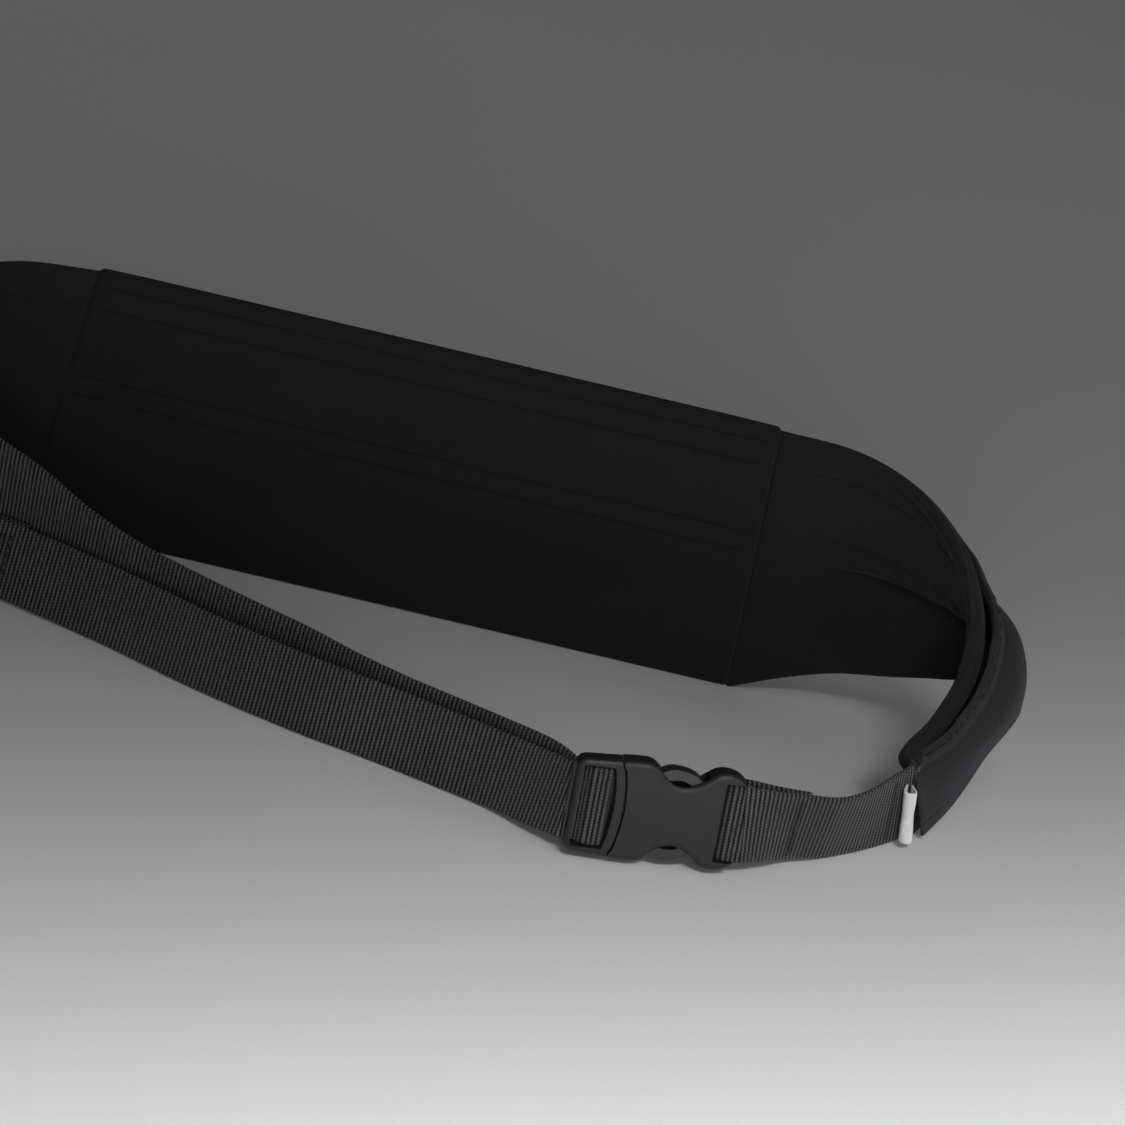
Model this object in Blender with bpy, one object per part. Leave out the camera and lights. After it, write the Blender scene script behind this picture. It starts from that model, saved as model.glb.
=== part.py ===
"""Belt-style waist pack, standing on its lower edge in a closed loop.

The object is a stretch-knit belt. A centre module with a zipped main pocket lies along X,
and a wing with an open-topped pocket curls forward from each end of it. A fixed strap
joins the right wing to the socket half of a side-release buckle. The adjustable strap
runs from the left wing through the ladder bars of the plug half and ends in a free tail.

Every size and every control point below is in millimetres. MM turns them into metres
when a mesh is made. +Y points outwards through the centre module, away from the wearer, and
+Z is up. The origin is near the middle of the back panel's lower edge.
"""

from math import atan2, cos, pi, radians, sin

import bmesh
import bpy
from mathutils import Matrix, Vector

MM = 0.001

# Centre module
PANEL_HEIGHT = 97.0
PANEL_HALF_TOP = 112.0
PANEL_RIGHT_BOTTOM = 115.5
PANEL_LEFT_BOTTOM = -123.5
BACK_THICKNESS = 2.4
LAYER_GAP = 0.3
ELASTIC_THICKNESS = 0.9
ELASTIC_HALF_LENGTH = 104.0
ELASTIC_BANDS = {"elastic_band_upper": (84.2, 91.8), "elastic_band_lower": (51.2, 57.8)}
LINING_THICKNESS = 0.6
LINING_HALF_LENGTH = 103.0
LINING_SPAN = (7.0, 89.0)
OUTER_THICKNESS = 1.4
OUTER_DEPTH = 12.4
OUTER_EDGE_DEPTH = 2.3
OUTER_FLAT_HALF = 94.0
SEAM_GAP = 0.5

# Zip of the main pocket
ZIP_HEIGHT = 70.0
ZIP_HALF_LENGTH = 88.0
ZIP_WINDOW = 6.4
TAPE_WIDTH = 6.4
TAPE_THICKNESS = 0.7
TAPE_INNER_OFFSET = 1.4
COIL_WIDTH = 2.1
COIL_DEPTH = 1.7
COIL_GAP = 0.3
STOP_LENGTH = 2.4
SLIDER_LENGTH = 11.0
SLIDER_WIDTH = 8.6
SLIDER_PLATE = 1.3
SLIDER_POST = 1.6
SLIDER_X = 82.0
BRIDGE_HEIGHT = 3.4
BRIDGE_BAR = 1.4
PULL_LENGTH = 22.0
PULL_WIDTH = 6.0
PULL_THICKNESS = 1.8

# Wings
WING_THICKNESS = 1.6
POCKET_THICKNESS = 1.2
POCKET_STAND_OFF = 8.5
POCKET_TOP = 0.90
BINDING_RADIUS = 1.1
HEM_HALF_WIDTH = 4.0
HEM_HALF_DEPTH = 2.1
WING_STEPS = 22
WING_ROWS = 6
WING_BELLY = 2.0
HEM_GAP_SHARE = 0.012

# Webbing and its hardware
WEB_WIDTH = 25.4
WEB_THICKNESS = 1.4
TAB_FOOT = (178.6, -68.6, 2.4)
TAB_HEIGHT = 18.0
TAB_LENGTH = 5.4
TAB_WIDTH = 5.6
TAB_THICKNESS = 0.8
TAB_OUTWARD = (0.10, -0.99, 0)
TAB_UP = (-0.14, 0.10, 0.985)
TAB_STEPS = 10
TAB_NECK = 0.25
TAB_ROUNDNESS = 0.75
TACK_LENGTH = 2.2
TACK_DEPTH = 0.5

# Side-release buckle, in its own frame: x along the strap, z up its height, y away
BUCKLE_CENTRE = Vector((98.8, -110.9, 17.2))
BUCKLE_YAW = radians(10.8)
BUCKLE_LEAN = radians(13.0)
BUCKLE_HALF_LENGTH = 26.5
BUCKLE_DEPTH = 8.6
MOUTH_X = -13.4
MOUTH_BULGE = 2.5
MOUTH_GAP = 0.35
COLLAR_HALF = 16.3
EDGE_FILLET = 1.1
CUT_FILLET = 0.3
SOCKET_EDGE = [(-13.05, 16.0), (-9.0, 16.3), (-5.2, 16.3), (-3.2, 15.7), (-1.3, 14.3), (0.4, 12.6),
               (2.4, 11.0), (4.6, 10.2), (6.6, 10.0), (8.6, 10.4), (10.8, 11.4), (12.8, 12.8),
               (14.8, 14.4), (16.8, 15.6), (19.2, 16.0), (21.8, 15.7), (24.2, 14.7), (25.8, 13.4),
               (26.5, 12.2)]
CAVITY_HALF = 13.8
CAVITY_DEPTH = 6.2
CAVITY_END_X = 16.6
SLOT_X = (19.4, 22.4)
SLOT_HALF = 12.95
BAR_DEPTH = 3.0
FRAME_END_X = -27.2
FRAME_LEFT_HALF = 15.2
FRAME_SHIFT = 0.4
CORNER = 3.2
CORNER_STEP = 1.0
FRAME_DEPTH = 7.4
WINDOW_X = -25.2
RAIL_WIDTH = 3.4
WINDOW_HALF = 12.95
LADDER_X = -19.9
LADDER_WIDTH = 2.6
ARM_ROOT = (-9.6, 9.1)
ARM_RECESS = (-12.0, 0.0)
ARM_RECESS_HALF = 3.2
ARM_TIP_X = 14.2
ARM_BULGE = 14.9
ARM_DEPTH = 5.2
TONGUE_HALF = 3.2
TONGUE_TIP_X = 12.5
TONGUE_DEPTH = 5.0
NEAR_STRAP_END_X = -64.0
BAR_TURN = BAR_DEPTH / 2 + LAYER_GAP + WEB_THICKNESS / 2
STRAIGHT_EXIT = (1.6, 3.2)
STRAP_RIGHT_STEPS = 28
CLEAR_STEP = 4
STITCH_STEP = 13
TAIL_STEPS = 36
TAIL_HEM_STEPS = 4
TAIL_LEVEL = 0.1
LOAD_STEPS = 50
LOAD_LEVEL = 2.1
LOAD_SPREAD = 0.3

# Right wing: top and bottom edge from the seam to the strap
RIGHT_TOP = [(112.3, 0, 97), (134, -2, 97.3), (150, -6, 95), (165, -12, 89), (177, -19, 78),
             (183.5, -28, 62), (184, -39, 47), (179, -49, 36), (173.8, -57, 30.5), (172.0, -63.5, 28.5)]
RIGHT_BOTTOM = [(115.8, 0, 0), (133, -0.5, 9), (149, -1, 15.4), (165, -3, 20), (182, -7, 26.5),
                (199, -12, 32), (206.5, -21, 29), (197.5, -36.5, 17), (188.5, -51.5, 5.5), (181, -64.5, 1.0)]

# Left wing: nearly straight, then folded over on itself
LEFT_TOP = [(-112.3, 0, 97), (-138, -0.5, 94), (-162, -1.5, 85), (-181, -7, 75), (-190.5, -19, 68),
            (-185, -31, 63), (-172, -35, 60), (-158, -35.5, 58.2)]
LEFT_BOTTOM = [(-123.8, 0, 0), (-143, -0.5, 5), (-164, -1.5, 13), (-181, -7, 22), (-190.5, -19, 28),
               (-185, -31, 31), (-172, -35, 32.3), (-158, -35.5, 32.8)]

# Straps: lower edge x, y, z and lean of the webbing in degrees
STRAP_RIGHT_ROUTE = [(134.0, -105.6, 4.2, 5), (142.0, -98.0, 2.5, -3), (152.0, -90.8, 1.0, -8),
                     (161.0, -83.7, 0.5, -5), (169.0, -76.6, 0.3, 2), (176.0, -69.6, 0.4, 8)]
TAIL_ROUTE = [(61.5, -113.6, 3.0, 13), (47.0, -105.4, 0.9, 12), (30.0, -99.8, 0.3, 12),
              (8.0, -93.6, 0.2, 13), (-18.0, -87.4, 0.2, 14), (-50.0, -77.2, 0.2, 15),
              (-84.0, -63.6, 0.3, 16), (-118.0, -52.6, 0.8, 16), (-137.0, -47.6, 0.8, 14)]
LOAD_ROUTE = [(60.8, -108.4, 4.4, 13), (46.0, -100.2, 3.0, 11), (29.6, -94.0, 2.2, 12),
              (12.6, -88.2, 2.0, 12), (-4.4, -82.6, 2.6, 13), (-21.0, -76.6, 4.0, 13),
              (-38.0, -70.8, 4.9, 12), (-58.0, -63.6, 5.9, 11), (-80.0, -55.4, 8.2, 8),
              (-98.0, -48.4, 13.2, 4), (-114.0, -42.6, 20.0, 2), (-130.0, -38.6, 25.6, 0),
              (-146.0, -36.2, 30.6, 0), (-156.6, -35.5, 32.6, 0)]
SPLIT_GAP = 0.3


# ---------------------------------------------------------------- scene and materials

def clear_scene():
    for obj in list(bpy.data.objects):
        bpy.data.objects.remove(obj, do_unlink=True)


def material(name, colour, roughness, metallic=0.0):
    made = bpy.data.materials.new(name)
    made.use_nodes = True
    shader = made.node_tree.nodes["Principled BSDF"]
    shader.inputs["Base Color"].default_value = (*colour, 1.0)
    shader.inputs["Roughness"].default_value = roughness
    shader.inputs["Metallic"].default_value = metallic
    made.diffuse_color = (*colour, 1.0)
    return made


KNIT = (0.011, 0.011, 0.013)
WEBBING = (0.034, 0.034, 0.037)
PLASTIC = (0.036, 0.036, 0.040)
ZIP_BLACK = (0.020, 0.020, 0.022)
WHITE = (0.74, 0.74, 0.77)
LINING = (0.05, 0.05, 0.055)
SLIDER_METAL = (0.045, 0.045, 0.048)
STOP_METAL = (0.10, 0.10, 0.11)


def finish(name, mesh, colour, roughness, metallic=0.0, sharp=40.0):
    """Name the object, give it its material and shade its round stretches smooth."""
    obj = bpy.data.objects.new(name, mesh)
    bpy.context.scene.collection.objects.link(obj)
    mesh.materials.append(material(name, colour, roughness, metallic))
    mesh.shade_smooth()
    mesh.set_sharp_from_angle(angle=radians(sharp))
    return obj


# ---------------------------------------------------------------- curves and shells

def smooth_route(points, steps):
    """Points spaced evenly by parameter on a Catmull-Rom curve through the given tuples."""
    values = [Vector(point) for point in points]
    padded = [values[0] * 2 - values[1]] + values + [values[-1] * 2 - values[-2]]
    spans = len(values) - 1
    route = []
    for step in range(steps + 1):
        place = step / steps * spans
        span = min(int(place), spans - 1)
        t = place - span
        a, b, c, d = padded[span:span + 4]
        route.append(0.5 * (2 * b + (c - a) * t + (2 * a - 5 * b + 4 * c - d) * t * t
                            + (3 * b - a - 3 * c + d) * t ** 3))
    return route


def ease(value):
    value = max(0.0, min(1.0, value))
    return value * value * (3 - 2 * value)


def grid_normal(grid, row, column):
    """Unit normal of a point grid, from its neighbours along both directions."""
    along = grid[min(row + 1, len(grid) - 1)][column] - grid[max(row - 1, 0)][column]
    last = len(grid[row]) - 1
    across = grid[row][min(column + 1, last)] - grid[row][max(column - 1, 0)]
    return along.cross(across).normalized()


def shell_mesh(name, grid, low, high):
    """Closed sheet around a point grid, from offset low to offset high along its normals."""
    rows = len(grid)
    columns = len(grid[0])
    made = bmesh.new()
    sides = []
    for offset in (low, high):
        side = [[made.verts.new((grid[i][j] + grid_normal(grid, i, j) * offset) * MM)
                 for j in range(columns)] for i in range(rows)]
        sides.append(side)
    for index, side in enumerate(sides):
        for i in range(rows - 1):
            for j in range(columns - 1):
                corners = [side[i][j], side[i + 1][j], side[i + 1][j + 1], side[i][j + 1]]
                made.faces.new(corners if index else corners[::-1])
    rim = [(i, 0) for i in range(rows)]
    rim += [(rows - 1, j) for j in range(1, columns)]
    rim += [(i, columns - 1) for i in range(rows - 2, -1, -1)]
    rim += [(0, j) for j in range(columns - 2, 0, -1)]
    for here, after in zip(rim, rim[1:] + rim[:1]):
        made.faces.new([sides[0][here[0]][here[1]], sides[0][after[0]][after[1]],
                        sides[1][after[0]][after[1]], sides[1][here[0]][here[1]]])
    return closed_mesh(name, made)


def closed_mesh(name, made):
    bmesh.ops.recalc_face_normals(made, faces=made.faces)
    if made.calc_volume(signed=True) < 0:
        bmesh.ops.reverse_faces(made, faces=made.faces)
    mesh = bpy.data.meshes.new(name)
    made.to_mesh(mesh)
    made.free()
    return mesh


def tube_mesh(name, rings):
    """Closed body through rings of points, with a flat cap at each end."""
    made = bmesh.new()
    loops = [[made.verts.new(point * MM) for point in ring] for ring in rings]
    count = len(loops[0])
    for first, second in zip(loops, loops[1:]):
        for k in range(count):
            made.faces.new([first[k], first[(k + 1) % count], second[(k + 1) % count], second[k]])
    made.faces.new(loops[0][::-1])
    made.faces.new(loops[-1])
    return closed_mesh(name, made)


def prism_mesh(name, outline, low, high, place=None):
    """Extrude an outline of (x, z) points from y = low to y = high."""
    made = bmesh.new()
    front = [made.verts.new((x, low, z)) for x, z in outline]
    back = [made.verts.new((x, high, z)) for x, z in outline]
    made.faces.new(front)
    made.faces.new(back[::-1])
    for k in range(len(outline)):
        after = (k + 1) % len(outline)
        made.faces.new([front[after], front[k], back[k], back[after]])
    matrix = place if place else Matrix()
    made.transform(Matrix.Scale(MM, 4) @ matrix)
    return closed_mesh(name, made)


def box_mesh(name, low, high, place=None):
    outline = [(low[0], low[2]), (high[0], low[2]), (high[0], high[2]), (low[0], high[2])]
    return prism_mesh(name, outline, low[1], high[1], place)


def bevel(obj, width, segments, angle=35.0):
    modifier = obj.modifiers.new("bevel", "BEVEL")
    modifier.width = width * MM
    modifier.segments = segments
    modifier.limit_method = "ANGLE"
    modifier.angle_limit = radians(angle)
    modifier.use_clamp_overlap = True


def cut(obj, name, mesh, operation="DIFFERENCE"):
    """Cut or join obj with a hidden helper made from mesh."""
    helper = bpy.data.objects.new(name, mesh)
    bpy.context.scene.collection.objects.link(helper)
    helper.hide_render = True
    helper.display_type = "WIRE"
    helper.parent = obj
    modifier = obj.modifiers.new(name, "BOOLEAN")
    modifier.operation = operation
    modifier.solver = "EXACT"
    modifier.object = helper


# ---------------------------------------------------------------- centre module

def panel_edge(height, side):
    """X of the centre module's right (side 1) or left (side -1) seam at a height."""
    bottom = PANEL_RIGHT_BOTTOM if side > 0 else PANEL_LEFT_BOTTOM
    return bottom + (side * PANEL_HALF_TOP - bottom) * height / PANEL_HEIGHT


def make_back_panel():
    outline = [(PANEL_LEFT_BOTTOM, 0), (PANEL_RIGHT_BOTTOM, 0),
               (PANEL_HALF_TOP, PANEL_HEIGHT), (-PANEL_HALF_TOP, PANEL_HEIGHT)]
    half = BACK_THICKNESS / 2
    obj = finish("back_panel", prism_mesh("back_panel", outline, -half, half), KNIT, 0.85)
    bevel(obj, 0.5, 2)


def make_elastic_bands():
    near = BACK_THICKNESS / 2 + LAYER_GAP
    for name, (low, high) in ELASTIC_BANDS.items():
        mesh = box_mesh(name, (-ELASTIC_HALF_LENGTH, near, low),
                        (ELASTIC_HALF_LENGTH, near + ELASTIC_THICKNESS, high))
        finish(name, mesh, KNIT, 0.8)


def make_lining():
    near = BACK_THICKNESS / 2 + 2 * LAYER_GAP + ELASTIC_THICKNESS
    mesh = box_mesh("pocket_lining", (-LINING_HALF_LENGTH, near, LINING_SPAN[0]),
                    (LINING_HALF_LENGTH, near + LINING_THICKNESS, LINING_SPAN[1]))
    finish("pocket_lining", mesh, LINING, 0.7)


# Middle surface of the outer panel: depth share against height
OUTER_PROFILE = [(0.7, 0.00), (3.0, 0.22), (8.0, 0.55), (15.0, 0.84), (24.0, 0.985), (30.0, 1.0),
                 (46.0, 1.0), (64.0, 1.0), (78.0, 1.0), (83.5, 0.93), (88.8, 0.68),
                 (93.2, 0.30), (96.2, 0.00)]


def outer_depth(height, position):
    """Depth of the outer panel's middle surface at a height and a position from -1 to 1."""
    share = 0.0
    for (z0, d0), (z1, d1) in zip(OUTER_PROFILE, OUTER_PROFILE[1:]):
        if z0 <= height <= z1:
            share = d0 + (d1 - d0) * (height - z0) / (z1 - z0)
    beyond = (abs(position) * PANEL_HALF_TOP - OUTER_FLAT_HALF) / (PANEL_HALF_TOP - OUTER_FLAT_HALF)
    return OUTER_EDGE_DEPTH + (OUTER_DEPTH - OUTER_EDGE_DEPTH) * share * (1 - ease(beyond))


def outer_positions():
    flat = OUTER_FLAT_HALF / PANEL_HALF_TOP
    taper = [flat + (1 - flat) * k / 6 for k in range(7)]
    return [-value for value in reversed(taper)] + [-flat / 3, flat / 3] + taper


def make_outer_panels():
    window = (ZIP_HEIGHT - ZIP_WINDOW / 2, ZIP_HEIGHT + ZIP_WINDOW / 2)
    heights = [z for z, _ in OUTER_PROFILE]
    spans = {"outer_panel_lower": [z for z in heights if z < window[0]] + [window[0]],
             "outer_panel_upper": [window[1]] + [z for z in heights if z > window[1]]}
    half = OUTER_THICKNESS / 2
    for name, levels in spans.items():
        grid = []
        for position in outer_positions():
            side = 1 if position > 0 else -1
            grid.append([Vector((abs(position) * (panel_edge(z, side) - side * SEAM_GAP),
                                 outer_depth(z, position), z)) for z in levels])
        finish(name, shell_mesh(name, grid, -half, half), KNIT, 0.85)


def make_zip():
    """Tapes, meshed coils and stops in the zip window; the coils end under the slider."""
    tape_back = OUTER_DEPTH - OUTER_THICKNESS / 2 - LAYER_GAP - TAPE_THICKNESS
    coil_back = tape_back + TAPE_THICKNESS + LAYER_GAP / 2
    coil_end = SLIDER_X - 0.8
    for name, side in (("upper", 1), ("lower", -1)):
        inner = ZIP_HEIGHT + side * TAPE_INNER_OFFSET
        outer = inner + side * TAPE_WIDTH
        mesh = box_mesh("zip_tape", (-ZIP_HALF_LENGTH - 4, tape_back, min(inner, outer)),
                        (ZIP_HALF_LENGTH + 4, tape_back + TAPE_THICKNESS, max(inner, outer)))
        finish("zip_tape_" + name, mesh, ZIP_BLACK, 0.7)
        inner = ZIP_HEIGHT + side * COIL_GAP / 2
        outer = inner + side * COIL_WIDTH
        mesh = box_mesh("zip_coil", (-ZIP_HALF_LENGTH + STOP_LENGTH, coil_back, min(inner, outer)),
                        (coil_end, coil_back + COIL_DEPTH, max(inner, outer)))
        obj = finish("zip_coil_" + name, mesh, ZIP_BLACK, 0.4)
        bevel(obj, 0.5, 2)
    for name, x in (("zip_stop_closed", ZIP_HALF_LENGTH), ("zip_stop_open", -ZIP_HALF_LENGTH)):
        low = (x - STOP_LENGTH / 2, coil_back, ZIP_HEIGHT - 2.2)
        high = (x + STOP_LENGTH / 2, coil_back + COIL_DEPTH, ZIP_HEIGHT + 2.2)
        obj = finish(name, box_mesh(name, low, high), STOP_METAL, 0.4, 1.0)
        bevel(obj, 0.4, 2)


def slider_outline():
    """Plate outline of the slider: square at the coil end, narrower at the wedge end."""
    half = SLIDER_LENGTH / 2
    wide = SLIDER_WIDTH / 2
    return [(-half, -wide + 1.0), (-half + 0.8, -wide + 0.2), (0, -wide), (half - 1.2, -wide + 1.0),
            (half, -wide + 2.2), (half, wide - 2.2), (half - 1.2, wide - 1.0), (0, wide),
            (-half + 0.8, wide - 0.2), (-half, wide - 1.0)]


def make_slider():
    """Slider with a front and a rear plate on one post, and a bridge for the pull."""
    tape_back = OUTER_DEPTH - OUTER_THICKNESS / 2 - LAYER_GAP - TAPE_THICKNESS
    rear = tape_back - 0.4
    front = tape_back + TAPE_THICKNESS + LAYER_GAP / 2 + COIL_DEPTH + 0.4
    place = Matrix.Translation((SLIDER_X, 0, ZIP_HEIGHT))
    top = prism_mesh("zip_slider", slider_outline(), front, front + SLIDER_PLATE, place)
    obj = finish("zip_slider", top, SLIDER_METAL, 0.35, 1.0)
    under = prism_mesh("zip_slider_rear", slider_outline(), rear - SLIDER_PLATE, rear, place)
    cut(obj, "zip_slider_rear", under, "UNION")
    post_low = (SLIDER_LENGTH / 2 - 4.2, rear - 0.5, -SLIDER_POST / 2)
    post_high = (SLIDER_LENGTH / 2 - 0.8, front + 0.5, SLIDER_POST / 2)
    cut(obj, "zip_slider_post", box_mesh("zip_slider_post", post_low, post_high, place), "UNION")
    face = front + SLIDER_PLATE
    arch = [(-4.2, face - 0.4), (-3.4, face + BRIDGE_HEIGHT - 0.9), (-2.4, face + BRIDGE_HEIGHT),
            (2.4, face + BRIDGE_HEIGHT), (3.4, face + BRIDGE_HEIGHT - 0.9), (4.2, face - 0.4),
            (2.9, face - 0.4), (2.2, face + BRIDGE_HEIGHT - BRIDGE_BAR),
            (-2.2, face + BRIDGE_HEIGHT - BRIDGE_BAR), (-2.9, face - 0.4)]
    turn = Matrix.Rotation(radians(90), 4, "X") @ Matrix.Scale(-1, 4, (0, 0, 1))
    upright = prism_mesh("zip_slider_bridge", arch, -0.9, 0.9, place @ turn)
    cut(obj, "zip_slider_bridge", upright, "UNION")
    return face


def make_pull(face):
    """Cord-style pull: a ring round the bridge bar and a moulded grip that hangs from it."""
    axis_y = face + BRIDGE_HEIGHT - BRIDGE_BAR / 2
    axis = Vector((SLIDER_X, axis_y, ZIP_HEIGHT))
    ring_outer = 2.5
    ring_inner = 1.45
    rings = []
    steps = 14
    gap = radians(28)
    for step in range(steps + 1):
        angle = -pi / 2 + gap / 2 + (2 * pi - gap) * step / steps
        middle = Vector((0, cos(angle), sin(angle)))
        radius = (ring_outer + ring_inner) / 2
        half = (ring_outer - ring_inner) / 2
        ring = []
        for k in range(6):
            turn = 2 * pi * k / 6
            ring.append(middle * (radius + half * cos(turn)) + Vector((half * sin(turn), 0, 0)))
        rings.append(ring)
    obj = finish("zip_pull", tube_mesh("zip_pull", rings), ZIP_BLACK, 0.6)
    obj.location = axis * MM
    grip_top = -ring_inner - 0.15
    outline = [(-1.3, grip_top), (-PULL_WIDTH / 2, grip_top - 5), (-PULL_WIDTH / 2, -PULL_LENGTH + 2),
               (-PULL_WIDTH / 2 + 2, -PULL_LENGTH), (PULL_WIDTH / 2 - 2, -PULL_LENGTH),
               (PULL_WIDTH / 2, -PULL_LENGTH + 2), (PULL_WIDTH / 2, grip_top - 5), (1.3, grip_top)]
    half = PULL_THICKNESS / 2
    cut(obj, "zip_pull_grip", prism_mesh("zip_pull_grip", outline, -half, half), "UNION")


# ---------------------------------------------------------------- wings

class Wing:
    """Middle surface of a wing's inner panel, ruled between its top and bottom edges."""

    def __init__(self, side, top, bottom):
        self.side = side
        self.top = smooth_route(top, WING_STEPS)
        self.bottom = smooth_route(bottom, WING_STEPS)

    def point(self, step, height):
        """Point at a step along the wing; height is 0 at the lower edge and 1 at the top."""
        low = self.bottom[step]
        high = self.top[step]
        belly = sin(pi * height) * WING_BELLY * ease(step / WING_STEPS * 4) * (1 - ease(step / WING_STEPS))
        return low.lerp(high, height) + self.outward(step) * belly

    def outward(self, step):
        """Unit normal that points to the outer side of the pack."""
        before = max(step - 1, 0)
        after = min(step + 1, WING_STEPS)
        along = (self.top[after] + self.bottom[after]) - (self.top[before] + self.bottom[before])
        up = self.top[step] - self.bottom[step]
        normal = up.cross(along).normalized()
        return normal * self.side

    def stand_off(self, step, height):
        """Distance from the inner panel's middle to the pocket panel's middle."""
        share = step / WING_STEPS
        touching = WING_THICKNESS / 2 + POCKET_THICKNESS / 2 + 2 * LAYER_GAP
        mouth = POCKET_STAND_OFF * ease(share / 0.16) * (1 - ease((share - 0.76) / 0.24))
        strap = (WEB_THICKNESS + LAYER_GAP) * ease((share - 0.74) / 0.14)
        return touching + mouth * sin(pi / 2 * min(1.0, height * 1.25)) + strap


def wing_grid(wing, low, high, first, last, off=None):
    grid = []
    for step in range(first, last + 1):
        row = []
        for j in range(WING_ROWS + 1):
            height = low + (high - low) * j / WING_ROWS
            point = wing.point(step, height)
            if off:
                point = point + wing.outward(step) * off(step, height)
            row.append(point)
        grid.append(row)
    return grid


def hem_share(wing, step):
    """Share of the wing's height that its rolled top hem takes."""
    height = (wing.top[step] - wing.bottom[step]).length
    return 2 * HEM_HALF_WIDTH / height


def make_wing(name, wing):
    inner = []
    for step in range(WING_STEPS + 1):
        reach = 1 - hem_share(wing, step) - HEM_GAP_SHARE
        inner.append([wing.point(step, reach * j / WING_ROWS) for j in range(WING_ROWS + 1)])
    half = WING_THICKNESS / 2
    finish("wing_inner_" + name, shell_mesh("wing_inner", inner, -half, half), KNIT, 0.85)
    make_wing_hem(name, wing)
    make_wing_pocket(name, wing)


def make_wing_hem(name, wing):
    rings = []
    for step in range(WING_STEPS + 1):
        middle = wing.point(step, 1 - hem_share(wing, step) / 2)
        up = (wing.top[step] - wing.bottom[step]).normalized()
        out = wing.outward(step)
        ring = []
        for k in range(10):
            turn = 2 * pi * k / 10
            ring.append(middle + up * HEM_HALF_WIDTH * cos(turn) + out * HEM_HALF_DEPTH * sin(turn))
        rings.append(ring)
    tip = rings[-1]
    centre = sum(tip, Vector()) / len(tip)
    forward = (centre - sum(rings[-2], Vector()) / len(tip)).normalized()
    for reach, share in ((0.5, 0.85), (0.9, 0.5)):
        rings.append([centre + (point - centre) * share + forward * reach for point in tip])
    finish("wing_hem_" + name, tube_mesh("wing_hem", rings), KNIT, 0.85)


def make_wing_pocket(name, wing):
    half = POCKET_THICKNESS / 2
    top = POCKET_TOP
    grid = wing_grid(wing, 0.0, top, 0, WING_STEPS, wing.stand_off)
    finish("wing_pocket_" + name, shell_mesh("wing_pocket", grid, -half, half), KNIT, 0.85)
    rings = []
    for step in range(1, WING_STEPS + 1):
        point = wing.point(step, top) + wing.outward(step) * wing.stand_off(step, top)
        up = (wing.top[step] - wing.bottom[step]).normalized()
        out = wing.outward(step)
        middle = point + up * (BINDING_RADIUS + LAYER_GAP)
        ring = []
        for k in range(8):
            turn = 2 * pi * k / 8
            ring.append(middle + up * BINDING_RADIUS * cos(turn) + out * BINDING_RADIUS * sin(turn))
        rings.append(ring)
    finish("pocket_binding_" + name, tube_mesh("pocket_binding", rings), KNIT, 0.8)


# ---------------------------------------------------------------- buckle

def buckle_place():
    """Matrix from the buckle's own frame to the object's frame, in millimetres."""
    turn = Matrix.Rotation(BUCKLE_YAW, 4, "Z") @ Matrix.Rotation(-BUCKLE_LEAN, 4, "X")
    return Matrix.Translation(BUCKLE_CENTRE) @ turn


def mouth_arc(gap, half, count=8):
    """Points on the curved joint line, from z = -half to z = half."""
    points = []
    for k in range(count + 1):
        z = -half + 2 * half * k / count
        bulge = MOUTH_BULGE * (1 - (z / COLLAR_HALF) ** 2)
        points.append((MOUTH_X + bulge + gap, z))
    return points


def make_buckle_female():
    """Socket: hollow body with side windows, a strap slot, two ears and a strap bar."""
    lower = [(x, -z) for x, z in reversed(SOCKET_EDGE)]
    mouth = mouth_arc(MOUTH_GAP, SOCKET_EDGE[0][1])[1:-1]
    half = BUCKLE_DEPTH / 2
    outline = SOCKET_EDGE + lower + mouth
    body = prism_mesh("buckle_female", outline[::-1], -half, half)
    obj = finish("buckle_female", body, PLASTIC, 0.5)
    bevel(obj, EDGE_FILLET, 3, 60)
    depth = CAVITY_DEPTH / 2
    cut(obj, "socket_cavity", box_mesh("socket_cavity", (MOUTH_X - 4, -depth, -CAVITY_HALF),
                                       (CAVITY_END_X, depth, CAVITY_HALF)))
    cut(obj, "socket_slot", box_mesh("socket_slot", (SLOT_X[0], -half - 2, -SLOT_HALF),
                                     (SLOT_X[1], half + 2, SLOT_HALF)))
    reach = BUCKLE_HALF_LENGTH + 2
    for name, low, high in (("front", -half - 2, -BAR_DEPTH / 2), ("rear", BAR_DEPTH / 2, half + 2)):
        cut(obj, "socket_relief_" + name,
            box_mesh("socket_relief", (SLOT_X[1] - 0.5, low, -SLOT_HALF), (reach, high, SLOT_HALF)))
    bevel(obj, CUT_FILLET, 2, 50)
    obj.matrix_world = millimetre_matrix(buckle_place())


def millimetre_matrix(matrix):
    """The same placement with its translation in metres."""
    placed = matrix.copy()
    placed.translation = matrix.translation * MM
    return placed


def frame_outline():
    """Plug frame: curved shoulder on the right, clipped corners on the left."""
    left = FRAME_END_X
    half = FRAME_LEFT_HALF
    outline = [(left + CORNER, -half)] + mouth_arc(0.0, SOCKET_EDGE[0][1])
    outline += [(left + CORNER, half), (left + CORNER_STEP, half - CORNER_STEP),
                (left, half - CORNER), (left, CORNER - half)]
    return outline + [(left + CORNER_STEP, CORNER_STEP - half)]


def window_outline(clip=0.8):
    """Ladder window: a straight left edge with clipped corners, and a right edge along the mouth."""
    half = WINDOW_HALF
    left = WINDOW_X
    outline = [(left + clip, -half)] + mouth_arc(-RAIL_WIDTH, half)
    return outline + [(left + clip, half), (left, half - clip), (left, clip - half)]


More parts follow.
